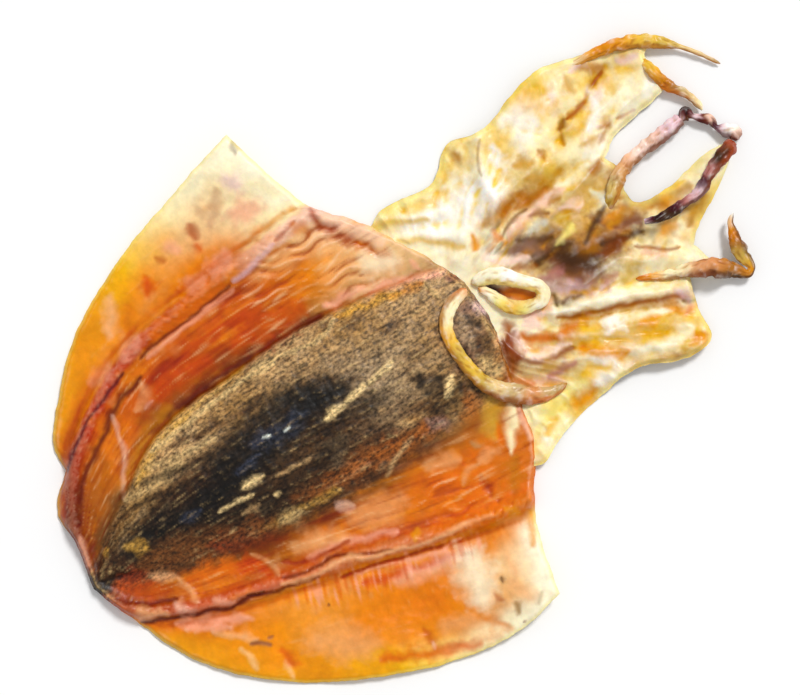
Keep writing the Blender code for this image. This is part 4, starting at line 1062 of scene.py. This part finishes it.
def noise(x, y, size, seed):
    """Smooth random hills about one size across, from -1 to 1, the same on every run."""
    turns = np.random.default_rng(seed).uniform(0, 2 * np.pi, (NOISE_CELLS, NOISE_CELLS))
    column = np.floor(x / size).astype(int)
    row = np.floor(y / size).astype(int)
    u = x / size - column
    v = y / size - row
    sides = []
    for j in (0, 1):
        pair = []
        for i in (0, 1):
            turn = turns[(row + j) % NOISE_CELLS, (column + i) % NOISE_CELLS]
            pair.append(np.cos(turn) * (u - i) + np.sin(turn) * (v - j))
        sides.append(pair[0] + (pair[1] - pair[0]) * smooth_step(u, 0, 1))
    return NOISE_SCALE * (sides[0] + (sides[1] - sides[0]) * smooth_step(v, 0, 1))


def layered_noise(x, y, size, seed, layers=3):
    """Noise with finer and weaker noise on top of it."""
    return sum(noise(x, y, size / 2 ** layer, seed + layer) / 2 ** layer for layer in range(layers)) / 1.5


def pattern(name, x, y):
    """One of the skin's patterns, read at these places."""
    width, length, seed, layers = PATTERNS[name]
    return layered_noise(x / width, y / length, 1, seed, layers)


def ridged(value):
    """Turns soft hills into narrow crests, from -1 to 1."""
    return 1 - 3 * np.abs(value)


def linear(name):
    """A paint in the light's own scale."""
    shade = np.array(PAINTS[name]) / 255
    return np.where(shade > 0.04045, ((shade + 0.055) / 1.055) ** 2.4, shade / 12.92)


def blend(tint, colour, share):
    """Mixes a paint into the tint by each point's share."""
    return tint + (linear(colour) - tint) * np.clip(share, 0, 1)[:, None]


def washed(tint, washes, places, patterns):
    """Paints each wash where its place and its pattern say."""
    for paint, place, strength, name, start, full in washes:
        tint = blend(tint, paint, places[place] * strength * smooth_step(patterns[name], start, full))
    return tint


def darkened(tint, value, start, full, losses):
    """Takes these shares of red, green and blue away as the value goes from start to full."""
    return tint * (1 - smooth_step(value, start, full)[:, None] * np.array(losses))


def stronger(tint):
    """The tint with its colours further from grey."""
    grey = tint.mean(axis=1)[:, None]
    return np.maximum(grey + (tint - grey) * COLOUR_STRENGTH, 0)


def rough_outline(shape, seed):
    """The outline with small nicks and waves."""
    ahead = np.roll(shape, -1, axis=0) - np.roll(shape, 1, axis=0)
    outward = np.column_stack((ahead[:, 1], -ahead[:, 0])) / np.hypot(*ahead.T)[:, None]
    nicks = layered_noise(shape[:, 0], shape[:, 1], NICK_SIZE, seed, 4)
    return shape + outward * (nicks * RIM_ROUGHNESS)[:, None]


def rounded_edge(gap):
    """The share of its thickness that the skin has at each gap to its edge."""
    return EDGE_SHARE + (1 - EDGE_SHARE) * smooth_step(gap, 0, RIM_ROUNDING)


def lay_triangles(shape, spacing):
    """Fills an outline with triangles: the places, the triangles and each place's gap to the outline."""
    low = shape.min(axis=0)
    high = shape.max(axis=0)
    rows = np.arange(low[1], high[1], spacing * np.sqrt(3) / 2)
    x, y = np.meshgrid(np.arange(low[0], high[0], spacing), rows)
    x = x + spacing / 2 * (np.arange(len(rows)) % 2)[:, None]
    grid = np.column_stack((x.ravel(), y.ravel()))
    grid = grid[inside(shape, grid[:, 0], grid[:, 1])]
    rim = KDTree(len(shape))
    for i, place in enumerate(shape):
        rim.insert((*place, 0), i)
    rim.balance()
    gap = np.array([rim.find((*place, 0))[2] for place in grid])
    kept = gap > spacing * RIM_GAP
    places = np.concatenate((shape, grid[kept]))
    edges = [(i, (i + 1) % len(shape)) for i in range(len(shape))]
    flat, _, triangles, *_ = delaunay_2d_cdt([Vector(p) for p in places], edges, [], 1, 1e-6)
    return np.array(flat), np.array(triangles), np.concatenate((np.zeros(len(shape)), gap[kept]))


def two_sided(shape, spacing):
    """A closed skin over an outline, fine on top and coarse below, which share their rim."""
    top, top_faces, top_gap = lay_triangles(shape, spacing)
    below, below_faces, below_gap = lay_triangles(shape, UNDER_SPACING)
    count = len(top)
    rim = np.arange(len(shape))
    ahead = (rim + 1) % len(shape)
    wall = np.column_stack((count + rim, count + ahead, ahead, rim))
    faces = [top_faces, below_faces[:, ::-1] + count, wall]
    is_top = np.arange(count + len(below)) < count
    return np.concatenate((top, below)), faces, np.concatenate((top_gap, below_gap)), is_top


def hollows(z, faces, passes):
    """How far each point lies below the mean of what is round it."""
    start = faces.ravel()
    end = np.roll(faces, -1, axis=1).ravel()
    neighbours = np.bincount(start, minlength=len(z))
    mean = z
    for _ in range(passes):
        mean = (np.bincount(start, weights=mean[end], minlength=len(z)) + mean) / (neighbours + 1)
    return mean - z


def marked(x, y, marks):
    """Each mark with the points it reaches and their distance from it, in its own half widths there."""
    slow = [noise(x, y, MARK_WAVE, seed) for seed in (71, 72)]
    uneven = pattern("mark_edges", x, y)
    for colour, half_width, strength, height, points in marks:
        line = smooth_line(points, MARK_SPACING)
        low = line.min(axis=0) - half_width * 3 - 1
        high = line.max(axis=0) + half_width * 3 + 1
        near = (x > low[0]) & (x < high[0]) & (y > low[1]) & (y < high[1])
        if near.any():
            warp = MARK_WARP * min(half_width, WIDEST_WARP)
            warped = [value[near] + warp * shift[near] for value, shift in zip((x, y), slow)]
            distance, end_gap = nearest_on_line(line, *warped)
            taper = smooth_step(end_gap, -1.2 * half_width, 1.5 * half_width)
            width = half_width * (MARK_END_SHARE + (1 - MARK_END_SHARE) * taper)
            yield colour, strength, height, near, distance / width * (1 + MARK_ROUGHNESS * uneven[near])


def mark_relief(x, y, marks):
    """The relief of the marks."""
    total = np.zeros(x.shape)
    for _, _, height, near, distance in marked(x, y, marks):
        total[near] += MARK_RELIEF * height * mound(distance, 1.3)
    return total


def paint_marks(tint, x, y, marks):
    """Paints the marks over the tint."""
    tint = tint.copy()
    for colour, strength, _, near, distance in marked(x, y, marks):
        tint[near] = blend(tint[near], colour, strength * smooth_step(distance, 2.2, 0))
    return tint


def along(paints, knots, at):
    """The colour at each place of a row of paints with the given knots."""
    return np.maximum(smooth_value(at, knots, np.array([linear(name) for name in paints])), 0)


def mantle_zones(x, y):
    """Shares of the shield, the fin bands, the flaps and the sides between them."""
    left, right = band_distances(x, y)
    _, shield = shield_height(x, y)
    band = mound(left, BAND_HALF_WIDTH) + mound(right, BAND_HALF_WIDTH)
    flap = smooth_step(flap_reach(x, y), 1.5, 6)
    side = (1 - flap) * (1 - shield) * (1 - np.clip(band, 0, 1))
    return {"shield": shield, "band": band, "flap": flap, "side": side}


def mantle_patterns(x, y):
    """The patterns in the relief of the mantle's skin."""
    reach = flap_reach(x, y)
    out = flow(x, y)
    choice = smooth_step(noise(x, y, 16.0, 23), -0.1, 0.5)
    wavy = x - 0.17 * y + 2.2 * noise(x, y, 8.0, 34)
    fibres = pattern("fibres", reach, y)
    return {
        "flap_grain": fibres * (1 - choice) + pattern("hatching", reach, y + 0.35 * reach) * choice,
        "swells": pattern("swells", reach, y),
        "pinches": pattern("pinches", out, y + 0.6 * np.abs(x)),
        "side_grain": pattern("side_grain", out, y),
        "folds": 0.6 * ridged(noise(wavy / 3.4, y / 16.0, 1, 35)) + 0.4 * pattern("fold_lines", wavy, y),
        "furrows": pattern("furrows", out, y),
        "knobs": pattern("knobs", x, y),
    }


def wrinkled_share(x, y):
    """Where the skin is wrinkled near the mantle's front."""
    from_behind, from_front, from_shield = LEFT_WRINKLES
    left = smooth_step(y, *from_behind) * smooth_step(y, *from_front) * smooth_step(x, *from_shield)
    right_x, right_y, size, strength = RIGHT_WRINKLES
    return left + strength * mound(np.hypot(x - right_x, y - right_y), size)


def mantle_grain(x, y):
    """The mantle's fine relief, and how much it lightens the tint on crests and darkens it in dips:
    painted light and shade.
    """
    places = mantle_zones(x, y)
    places["band"] = np.clip(places["band"], 0, 1)
    places["wrinkled"] = places["side"] * wrinkled_share(x, y)
    patterns = mantle_patterns(x, y)
    lift = light = 0
    for place, name, height, lightness in MANTLE_RELIEF:
        lift = lift + places[place] * patterns[name] * height
        light = light + places[place] * patterns[name] * lightness
    return lift, light


def mantle_form(x, y, gap, is_top):
    """Heights of the mantle's fine skin."""
    swell = SWELL_HEIGHT * noise(x, y, SWELL_SIZE, 61) * smooth_step(flap_reach(x, y), *SWELL_START)
    under = np.maximum(mantle_under(x, y) + swell, 0)
    lift, light = mantle_grain(x, y)
    top = mantle_top(x, y) + swell + lift + mark_relief(x, y, MANTLE_MARKS)
    top = under + np.maximum(top - under, THINNEST_SKIN) * rounded_edge(gap)
    return np.where(is_top, top, under), light


def lane_places(y):
    """The x of each colour lane at each y."""
    left, rim, right_edge, right = (station(column, y) for column in (1, 2, 3, 4))
    lanes = [left - reach for reach in LANE_REACH]
    lanes += [(left + rim) / 2, rim + RIM_STEP, (rim + right_edge) / 2]
    lanes += [right_edge, (right_edge + RIM_STEP + right) / 2]
    lanes += [right + reach for reach in reversed(LANE_REACH)]
    return np.column_stack(lanes)


def mantle_tint(x, y, gap):
    """The mantle's colours before its bands, washes and marks."""
    warp_x = x + 2.2 * pattern("lane_shift", x, y)
    warp_y = y + 4.0 * pattern("lane_slip", x, y)
    places = lane_places(warp_y)
    shades = np.stack([along(lane, LANE_KNOTS, warp_y) for lane in LANES], axis=1)
    lane = np.clip((warp_x[:, None] > places).sum(axis=1) - 1, 0, len(LANES) - 2)
    each = np.arange(len(x))
    width = places[each, lane + 1] - places[each, lane]
    share = smooth_step((warp_x - places[each, lane]) / width, 0.1, 0.9)[:, None]
    tint = shades[each, lane] * (1 - share) + shades[each, lane + 1] * share
    near_edge = smooth_step(gap + 2.5 * noise(x, y, 7.0, 88), MARGIN_WIDTH, 1)
    near_edge = near_edge * smooth_step(flap_reach(x, y), 3, 9)
    return tint + (along(MARGIN, LANE_KNOTS, warp_y) - tint) * near_edge[:, None]


def paint_bands(tint, x, y, bare):
    """Paints the two fin bands over the tint."""
    for distance, paints in zip(band_distances(x, y), (LEFT_BAND_PAINTS, RIGHT_BAND_PAINTS)):
        share = bare * smooth_step(np.abs(distance) + 0.7 * noise(x, y, 3.0, 90), *BAND_FADE)
        tint = tint + (along(paints, LANE_KNOTS, y) - tint) * (BAND_STRENGTH * share)[:, None]
    return tint


def right_creases(x, y):
    """Pleats beside the right fin band: painted highlights on their tops and painted shade between them."""
    right = band_distances(x, y)[1]
    pleats = noise(right / 11.0, (y + 0.35 * right) / 1.3, 1, 99) * mound(right - CREASE_REACH, 5)
    return pleats * smooth_step(y, *REAR_FADE) * smooth_step(y, *TAIL_FADE)


def paint_mantle(x, y, gap, light, relief):
    """The mantle's colours, with painted light and shade on its relief and pleats, and a painted glow at
    its thin flap edges.
    """
    places = mantle_zones(x, y)
    band = places["band"]
    bare = 1 - places["shield"]
    places["all"] = 1
    places["inner"] = bare * smooth_step(gap, 3, 14)
    places["rear_side"] = places["side"] * smooth_step(y, *REAR_FADE)
    places["off_flap"] = bare * (1 - 0.7 * places["flap"])
    places["half_band"] = bare * (1 - 0.3 * band)
    places["off_band"] = bare * (1 - 0.75 * np.clip(band, 0, 1))
    patterns = {
        "blotches": pattern("blotches", x, y),
        "streaks": pattern("streaks", flow(x, y), y),
        "mottles": pattern("mottles", flow(x, y), y),
        "creases": right_creases(x, y),
        "light": light,
        "relief": relief,
        "gap": gap,
    }
    tint = paint_bands(mantle_tint(x, y, gap), x, y, bare)
    tint = washed(tint, MANTLE_WASHES, places, patterns)
    tint = paint_marks(tint, x, y, MANTLE_MARKS)
    tint = washed(tint, MANTLE_PAINTED_LIGHT_AND_SHADE, places, patterns)
    # Painted shade in the hollows of the relief
    tint = darkened(tint, relief, *MANTLE_HOLLOW_SHADE)
    return tint + (stronger(tint) - tint) * bare[:, None]


def web_crumple(x, y):
    """The web's crumpled relief."""
    radius, turn = web_places(x, y)
    bend = turn + 0.08 * noise(x, y, 14.0, 101)
    wide = WIDE_HEIGHT * noise(bend * 4.5, radius / 30.0, 1, 103)
    ridges = ridged(noise(bend * 10 + 0.3 * noise(x, y, 9.0, 104), radius / 24.0, 1, 105))
    crumples = CRUMPLE_HEIGHT * pattern("heap", x + 2 * noise(x, y, 7.0, 106), y)
    middle = mound(distance_to_line(HEAP_LINE, x, y), HEAP_HALF_WIDTH)
    creases = HEAP_HEIGHT * middle * pattern("heap_creases", x, y)
    away = smooth_step(radius, *CRUMPLE_START)
    return away * (wide + NARROW_HEIGHT * ridges + crumples) + creases


def web_form(x, y, gap, is_top):
    """Heights of the web's fine skin, which slips under the mantle's front edge, and its gap to that edge."""
    crumple = web_crumple(x, y)
    marks = WEB_MARK_SHARE * mark_relief(x, y, WEB_MARKS)
    under = np.maximum(head_under(x, y) + 0.6 * crumple + 0.5 * marks, LOWEST_WEB)
    top = np.maximum(head_top(x, y) + crumple + marks, under + THINNEST_WEB)
    mantle = mantle_outline(OUTLINE_SPACING)
    front_gap = distance_to_line(mantle, x, y)
    tucked = np.minimum(top, mantle_top(x, y) - TUCK_DEPTH)
    risen = np.minimum(top, FRONT_HEIGHT + FRONT_RISE * front_gap)
    top = np.where(inside(mantle, x, y), tucked, risen)
    under = np.minimum(under, top - THINNEST_SKIN)
    return np.where(is_top, under + (top - under) * rounded_edge(gap), under), front_gap


def shown_top(x, y):
    """The highest shown surface, of the mantle or the head, at each place."""
    full = np.full(x.shape, RIM_ROUNDING)
    mantle = np.where(inside(mantle_outline(OUTLINE_SPACING), x, y), mantle_form(x, y, full, True)[0], 0)
    head = np.where(inside(head_outline(OUTLINE_SPACING), x, y), web_form(x, y, full, True)[0], 0)
    return np.maximum(mantle, head)


def settled(z):
    """Heights along a strand with their dips filled and their steps eased."""
    for _ in range(SMOOTHING_PASSES):
        z[1:-1] = np.maximum(z[1:-1], (z[:-2] + z[2:]) / 2)
        z[1:-1] = (z[:-2] + 2 * z[1:-1] + z[2:]) / 4
    return z


def paint_web(x, y, gap, relief):
    """The web's colours: translucent cream, golden in patches, with a dark heap in its middle, golden painted
    shade in its hollows, painted highlights on its crests and a painted glow at its thin edge.
    """
    radius, turn = web_places(x, y)
    spread = smooth_step(radius, 16, 50)
    rays = noise(turn * 7, radius / 22.0, 1, 121)
    middle = mound(distance_to_line(HEAP_LINE, x, y), HEAP_HALF_WIDTH)
    streaks = layered_noise(turn * 12, radius / 11.0, 1, 141, 2) * smooth_step(radius, 20, 50)
    places = {"all": 1, "spread": spread, "gilded": 0.2 + 0.6 * spread, "off_heap": 1 - 0.7 * middle}
    patterns = {
        "radius": radius,
        "patches": pattern("patches", x, y) + 0.8 * rays,
        "spots": pattern("spots", x, y) + 0.6 * rays,
        "flushes": pattern("flushes", x, y),
        "streaks": streaks + 0.4 * pattern("fine_streaks", x, y),
        "gap": gap + 1.5 * noise(x, y, 4.0, 131),
        "relief": relief,
    }
    tint = np.tile(linear("cream"), (len(x), 1))
    tint = washed(tint, WEB_WASHES, places, patterns)
    tint = paint_marks(tint, x, y, HEAD_SHADES)
    for paint, share, fineness, seed in HEAP_PAINTS:
        blots = layered_noise(turn * fineness, radius / 8.0, 1, seed)
        tint = blend(tint, paint, middle * share * smooth_step(blots, 0, 0.7))
    tint = paint_marks(tint, x, y, HEAD_MARKS)
    tint = washed(tint, WEB_STREAKS, places, patterns)
    tint = darkened(tint, patterns["streaks"], *STREAK_SHADE)
    tint = washed(tint, WEB_PAINTED_LIGHT, places, patterns)
    # Golden painted shade in the web's hollows
    return darkened(tint, relief, *WEB_HOLLOW_SHADE)


def strand_axes(middle):
    """The directions across and upward along a strand."""
    run = np.gradient(middle, axis=0)
    run /= np.linalg.norm(run, axis=1)[:, None]
    across = np.cross(run, (0, 0, 1))
    across /= np.linalg.norm(across, axis=1)[:, None]
    return across, np.cross(across, run)


def strand_faces(rings):
    """The faces of a strand of so many rings, with its two ends closed."""
    start = np.arange(rings - 1)[:, None] * STRAND_SIDES
    here = start + np.arange(STRAND_SIDES)
    turned = start + (np.arange(STRAND_SIDES) + 1) % STRAND_SIDES
    quads = np.stack((here, turned, turned + STRAND_SIDES, here + STRAND_SIDES), axis=-1).reshape(-1, 4)
    last = rings * STRAND_SIDES
    return [quads, [list(range(STRAND_SIDES))[::-1], list(range(last - STRAND_SIDES, last))]]


def strand(places, paints, edges, roughness, seed):
    """A wrinkled strip of arm: its points, faces and colours, with painted shade in its dips, at one side and
    underneath, and painted highlights on its lumps.
    """
    line = smooth_line(places, STRAND_SPACING)
    middle, radius = line[:, :3], line[:, 3]
    across, upward = strand_axes(middle)
    length = np.arange(len(line)) * STRAND_SPACING
    turn = np.linspace(0, 2 * np.pi, STRAND_SIDES, endpoint=False)
    length_grid, turn_grid = np.meshgrid(length, turn, indexing="ij")
    twist = turn_grid + STRAND_TWIST * noise(length_grid, length_grid * 0 + 3, 9.0, seed)
    ring = 3 * np.cos(turn_grid)
    ridges = ridged(noise(length_grid / 2, ring, 1.6, seed + 5))
    lumps = layered_noise(length_grid, ring, 2.6, seed + 1) + 0.6 * ridges
    ends = smooth_step(length, 0, END_LENGTH) * smooth_step(length, length[-1], length[-1] - END_LENGTH)
    reach = radius[:, None] * (1 + roughness * lumps) * (END_SHARE + (1 - END_SHARE) * ends[:, None])
    side_reach = (reach * np.cos(twist) * STRAND_WIDTH)[..., None]
    up_reach = (reach * np.sin(twist) * STRAND_HEIGHT)[..., None]
    corners = middle[:, None] + side_reach * across[:, None] + up_reach * upward[:, None]
    shift = 1.5 * layered_noise(length_grid, ring, 3.0, seed + 7)
    tint = along(paints, np.linspace(0, length[-1], len(paints)), (length_grid + shift).ravel())
    rough = 0.35 * layered_noise(length_grid, ring, 2.0, seed + 8)
    # Edge colours on one side and underneath: partly the strand's own edge, partly painted shade
    side = SIDE_SHADE * smooth_step(np.cos(twist) + rough, 0.0, 0.7)
    below = UNDER_SHADE * smooth_step(np.sin(twist) + rough, 0.25, -0.4)
    edge = along(edges, np.linspace(0, length[-1], len(edges)), length_grid.ravel())
    tint = tint + (edge - tint) * np.maximum(side, below).ravel()[:, None]
    # Painted shade in the dips of the wrinkles, then painted highlights on the lumps
    tint = darkened(tint, lumps.ravel(), *DIP_SHADE)
    tint = washed(tint, STRAND_PAINTED_HIGHLIGHTS, {"all": 1}, {"lumps": lumps.ravel()})
    return corners.reshape(-1, 3), strand_faces(len(line)), tint


def laid_on_surface(points):
    """A tentacle's points with the height that lets it lie on what is under it."""
    x, y, radius = smooth_line(points, TUBE_SPACING).T
    z = settled(shown_top(x, y) + radius * (1 - TENTACLE_SINK))
    return np.column_stack((x, y, z, radius))


def lifted(points):
    """An arm's points, raised onto the web where it would be under it, but for its root."""
    x, y, z, radius = smooth_line(points, TUBE_SPACING).T
    length = TUBE_SPACING * np.arange(len(x))
    buried = np.maximum(shown_top(x, y) + ARM_CLEARANCE * radius - z, 0)
    return np.column_stack((x, y, z + buried * smooth_step(length, 0, ROOT_LENGTH), radius))


def skin_material(name, bump, glow):
    """Dry translucent skin: painted tint with soft mottling, a grained back, a soft gloss and fine relief."""
    material = bpy.data.materials.new(name)
    material.use_nodes = True
    nodes = material.node_tree.nodes
    links = material.node_tree.links
    shader = nodes["Principled BSDF"]
    place = nodes.new("ShaderNodeTexCoord").outputs["Object"]

    def join(value, socket):
        if isinstance(value, bpy.types.NodeSocket):
            links.new(value, socket)
        else:
            socket.default_value = value

    def texture(width, length):
        scaled = nodes.new("ShaderNodeMapping")
        scaled.inputs["Scale"].default_value = (1 / (width * MM), 1 / (length * MM), 1 / (width * MM))
        links.new(place, scaled.inputs["Vector"])
        node = nodes.new("ShaderNodeTexNoise")
        node.inputs["Scale"].default_value = 1
        node.inputs["Detail"].default_value = TEXTURE_DETAIL
        links.new(scaled.outputs["Vector"], node.inputs["Vector"])
        return node.outputs["Fac"]

    def mapped(value, values, results):
        node = nodes.new("ShaderNodeMapRange")
        sockets = ("From Min", "From Max", "To Min", "To Max")
        for socket, setting in zip(sockets, (*values, *results)):
            node.inputs[socket].default_value = setting
        links.new(value, node.inputs["Value"])
        return node.outputs["Result"]

    def maths(kind, first, second):
        node = nodes.new("ShaderNodeMath")
        node.operation = kind
        join(first, node.inputs[0])
        join(second, node.inputs[1])
        return node.outputs["Value"]

    def mixed(kind, share, first, second):
        node = nodes.new("ShaderNodeMix")
        node.data_type = "RGBA"
        node.blend_type = kind
        for socket, value in ((node.inputs[0], share), (node.inputs[6], first), (node.inputs[7], second)):
            join(value, socket)
        return node.outputs[2]

    def painted(attribute, output):
        node = nodes.new("ShaderNodeAttribute")
        node.attribute_name = attribute
        return node.outputs[output]

    grain = painted("grain", "Fac")
    streaks = maths("MULTIPLY", texture(*STREAK_SIZE), STREAK_SHARE)
    specks = maths("MULTIPLY", texture(*SPECK_SIZE), 1 - STREAK_SHARE)
    rows = maths("ADD", streaks, specks)
    mottle = mapped(texture(*MOTTLE_SIZE), MIDDLE_RANGE, MOTTLE_SHADES)
    colour = mixed("MULTIPLY", 1.0, painted("tint", "Color"), mottle)
    colour = mixed("MULTIPLY", grain, colour, mapped(rows, GRAIN_RANGE, GRAIN_SHADES))
    links.new(colour, shader.inputs["Base Color"])
    change = mapped(texture(*GLOSS_SIZE), MIDDLE_RANGE, GLOSS_CHANGE)
    links.new(maths("ADD", painted("gloss", "Fac"), change), shader.inputs["Roughness"])
    crinkles = maths("MULTIPLY", texture(*BUMP_SIZE), CRINKLE_SHARE)
    fine = maths("ADD", crinkles, maths("MULTIPLY", rows, grain))
    relief = nodes.new("ShaderNodeBump")
    relief.inputs["Strength"].default_value = 1.0
    relief.inputs["Distance"].default_value = bump * MM
    links.new(fine, relief.inputs["Height"])
    links.new(relief.outputs["Normal"], shader.inputs["Normal"])
    shader.inputs["Subsurface Weight"].default_value = glow
    shader.inputs["Subsurface Radius"].default_value = GLOW_COLOUR
    shader.inputs["Subsurface Scale"].default_value = GLOW_DEPTH * MM
    shader.inputs["Specular IOR Level"].default_value = SHINE
    return material


def make_piece(name, corners, faces, tint, gloss, grain, material):
    """One shown piece with its colours, which stands for the frame's solid and moves with it."""
    mesh = bpy.data.meshes.new(name)
    mesh.from_pydata(corners * MM, [], [list(face) for group in faces for face in group])
    colours = mesh.attributes.new("tint", "FLOAT_COLOR", "POINT")
    colours.data.foreach_set("color", np.column_stack((np.clip(tint, 0, 1), np.ones(len(tint)))).ravel())
    for key, value in (("gloss", gloss), ("grain", grain)):
        mesh.attributes.new(key, "FLOAT", "POINT").data.foreach_set("value", value)
    mesh.shade_smooth()
    mesh.materials.append(material)
    piece = bpy.data.objects.new(name, mesh)
    bpy.context.scene.collection.objects.link(piece)
    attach(piece, "root")
    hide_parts("cuttlefish")
    return piece


def make_mantle(shift):
    """The mantle with its shield, fin bands and flaps."""
    places, faces, gap, is_top = two_sided(rough_outline(mantle_outline(RIM_SPACING), 5), SKIN_SPACING)
    x, y = places.T
    z, light = mantle_form(x, y, gap, is_top)
    relief = hollows(z, faces[0], MANTLE_PASSES) * smooth_step(gap, *EDGE_CALM)
    tint = paint_mantle(x, y, gap, light, relief)
    shield = mantle_zones(x, y)["shield"]
    gloss = MANTLE_ROUGHNESS + SHIELD_ROUGHNESS * shield
    material = skin_material("mantle_skin", *MANTLE_SKIN)
    corners = np.column_stack((x, y, z)) + shift
    make_piece("mantle", corners, faces, tint, gloss, SHIELD_GRAIN * shield, material)


def make_web(shift):
    """The opened head's web."""
    places, faces, gap, is_top = two_sided(rough_outline(head_outline(RIM_SPACING), 6), WEB_SPACING)
    x, y = places.T
    z, front_gap = web_form(x, y, gap, is_top)
    calm = smooth_step(gap, *EDGE_CALM) * smooth_step(front_gap, *FRONT_CALM)
    relief = hollows(z, faces[0], WEB_PASSES) * calm
    tint = stronger(paint_web(x, y, gap, relief))
    bare = np.zeros(len(x))
    gloss = WEB_ROUGHNESS + HEAP_ROUGHNESS * mound(distance_to_line(HEAP_LINE, x, y), HEAP_HALF_WIDTH)
    material = skin_material("web_skin", *WEB_SKIN)
    make_piece("head_web", np.column_stack((x, y, z)) + shift, faces, tint, gloss, bare, material)


def make_strands(shift):
    """The arms and the two curled tentacles."""
    material = skin_material("arm_skin", *ARM_SKIN)
    strands = []
    for i, (points, paints, edges) in enumerate(zip(ARMS, ARM_PAINTS, ARM_EDGES), 1):
        strands.append((f"arm_{i}", lifted(points), paints, edges, ARM_WRINKLES))
    for i, (points, paints, edges) in enumerate(zip(TENTACLES, TENTACLE_PAINTS, TENTACLE_EDGES), 1):
        strands.append((f"tentacle_{i}", laid_on_surface(points), paints, edges, TENTACLE_WRINKLES))
    for number, (name, places, paints, edges, wrinkles) in enumerate(strands):
        corners, faces, tint = strand(places, paints, edges, wrinkles, 200 + 10 * number)
        bare = np.zeros(len(tint))
        make_piece(name, corners + shift, faces, tint, bare + ARM_ROUGHNESS, bare, material)


def make_floor():
    """The pale floor."""
    mesh = bpy.data.meshes.new("floor")
    corners = [(x * FLOOR_REACH, y * FLOOR_REACH, 0) for x, y in ((-1, -1), (1, -1), (1, 1), (-1, 1))]
    mesh.from_pydata(corners, [], [(0, 1, 2, 3)])
    material = bpy.data.materials.new("floor")
    material.use_nodes = True
    shader = material.node_tree.nodes["Principled BSDF"]
    shader.inputs["Base Color"].default_value = FLOOR_COLOUR
    shader.inputs["Roughness"].default_value = FLOOR_ROUGHNESS
    shader.inputs["Specular IOR Level"].default_value = 0.0
    mesh.materials.append(material)
    floor = bpy.data.objects.new("floor", mesh)
    floor.location.z = -FLOOR_DROP * MM
    bpy.context.scene.collection.objects.link(floor)


def make_light():
    """Soft light from all round and a key from beyond the arms."""
    world = bpy.data.worlds.new("studio")
    world.use_nodes = True
    world.node_tree.nodes["Background"].inputs["Color"].default_value = (1, 1, 1, 1)
    world.node_tree.nodes["Background"].inputs["Strength"].default_value = SOFT_LIGHT
    bpy.context.scene.world = world
    key = bpy.data.lights.new("key", "SUN")
    key.energy = KEY_LIGHT
    key.angle = np.radians(KEY_SPREAD)
    lamp = bpy.data.objects.new("key", key)
    lamp.rotation_euler = Vector(KEY_DIRECTION).to_track_quat("Z", "Y").to_euler()
    bpy.context.scene.collection.objects.link(lamp)


def make_camera():
    """The camera, straight above."""
    lens = bpy.data.cameras.new("camera")
    lens.lens = CAMERA_LENS
    lens.sensor_width = CAMERA_SENSOR
    camera = bpy.data.objects.new("camera", lens)
    height = PICTURE_WIDTH * CAMERA_LENS / CAMERA_SENSOR
    camera.location = Vector((*CAMERA_AIM, height)) * MM
    camera.rotation_euler = (0, 0, np.radians(CAMERA_TURN))
    bpy.context.scene.collection.objects.link(camera)
    bpy.context.scene.camera = camera


def frame_shift():
    """What moves this script's places to the frame's: its middle lies over the origin."""
    low, high = (np.array(corner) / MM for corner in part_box("cuttlefish"))
    shape = np.concatenate((mantle_outline(MANTLE_SPACING), [arm[-1][:2] for arm in ARMS]))
    middle = (low + high) / 2
    return np.array((middle[0] - (shape[:, 0].min() + shape[:, 0].max()) / 2, 0, 0))


def build():
    """Makes the pieces, the floor, the light and the camera."""
    bpy.context.scene.view_settings.view_transform = "Standard"
    shift = frame_shift()
    make_mantle(shift)
    make_web(shift)
    make_strands(shift)
    make_floor()
    make_light()
    make_camera()


build()
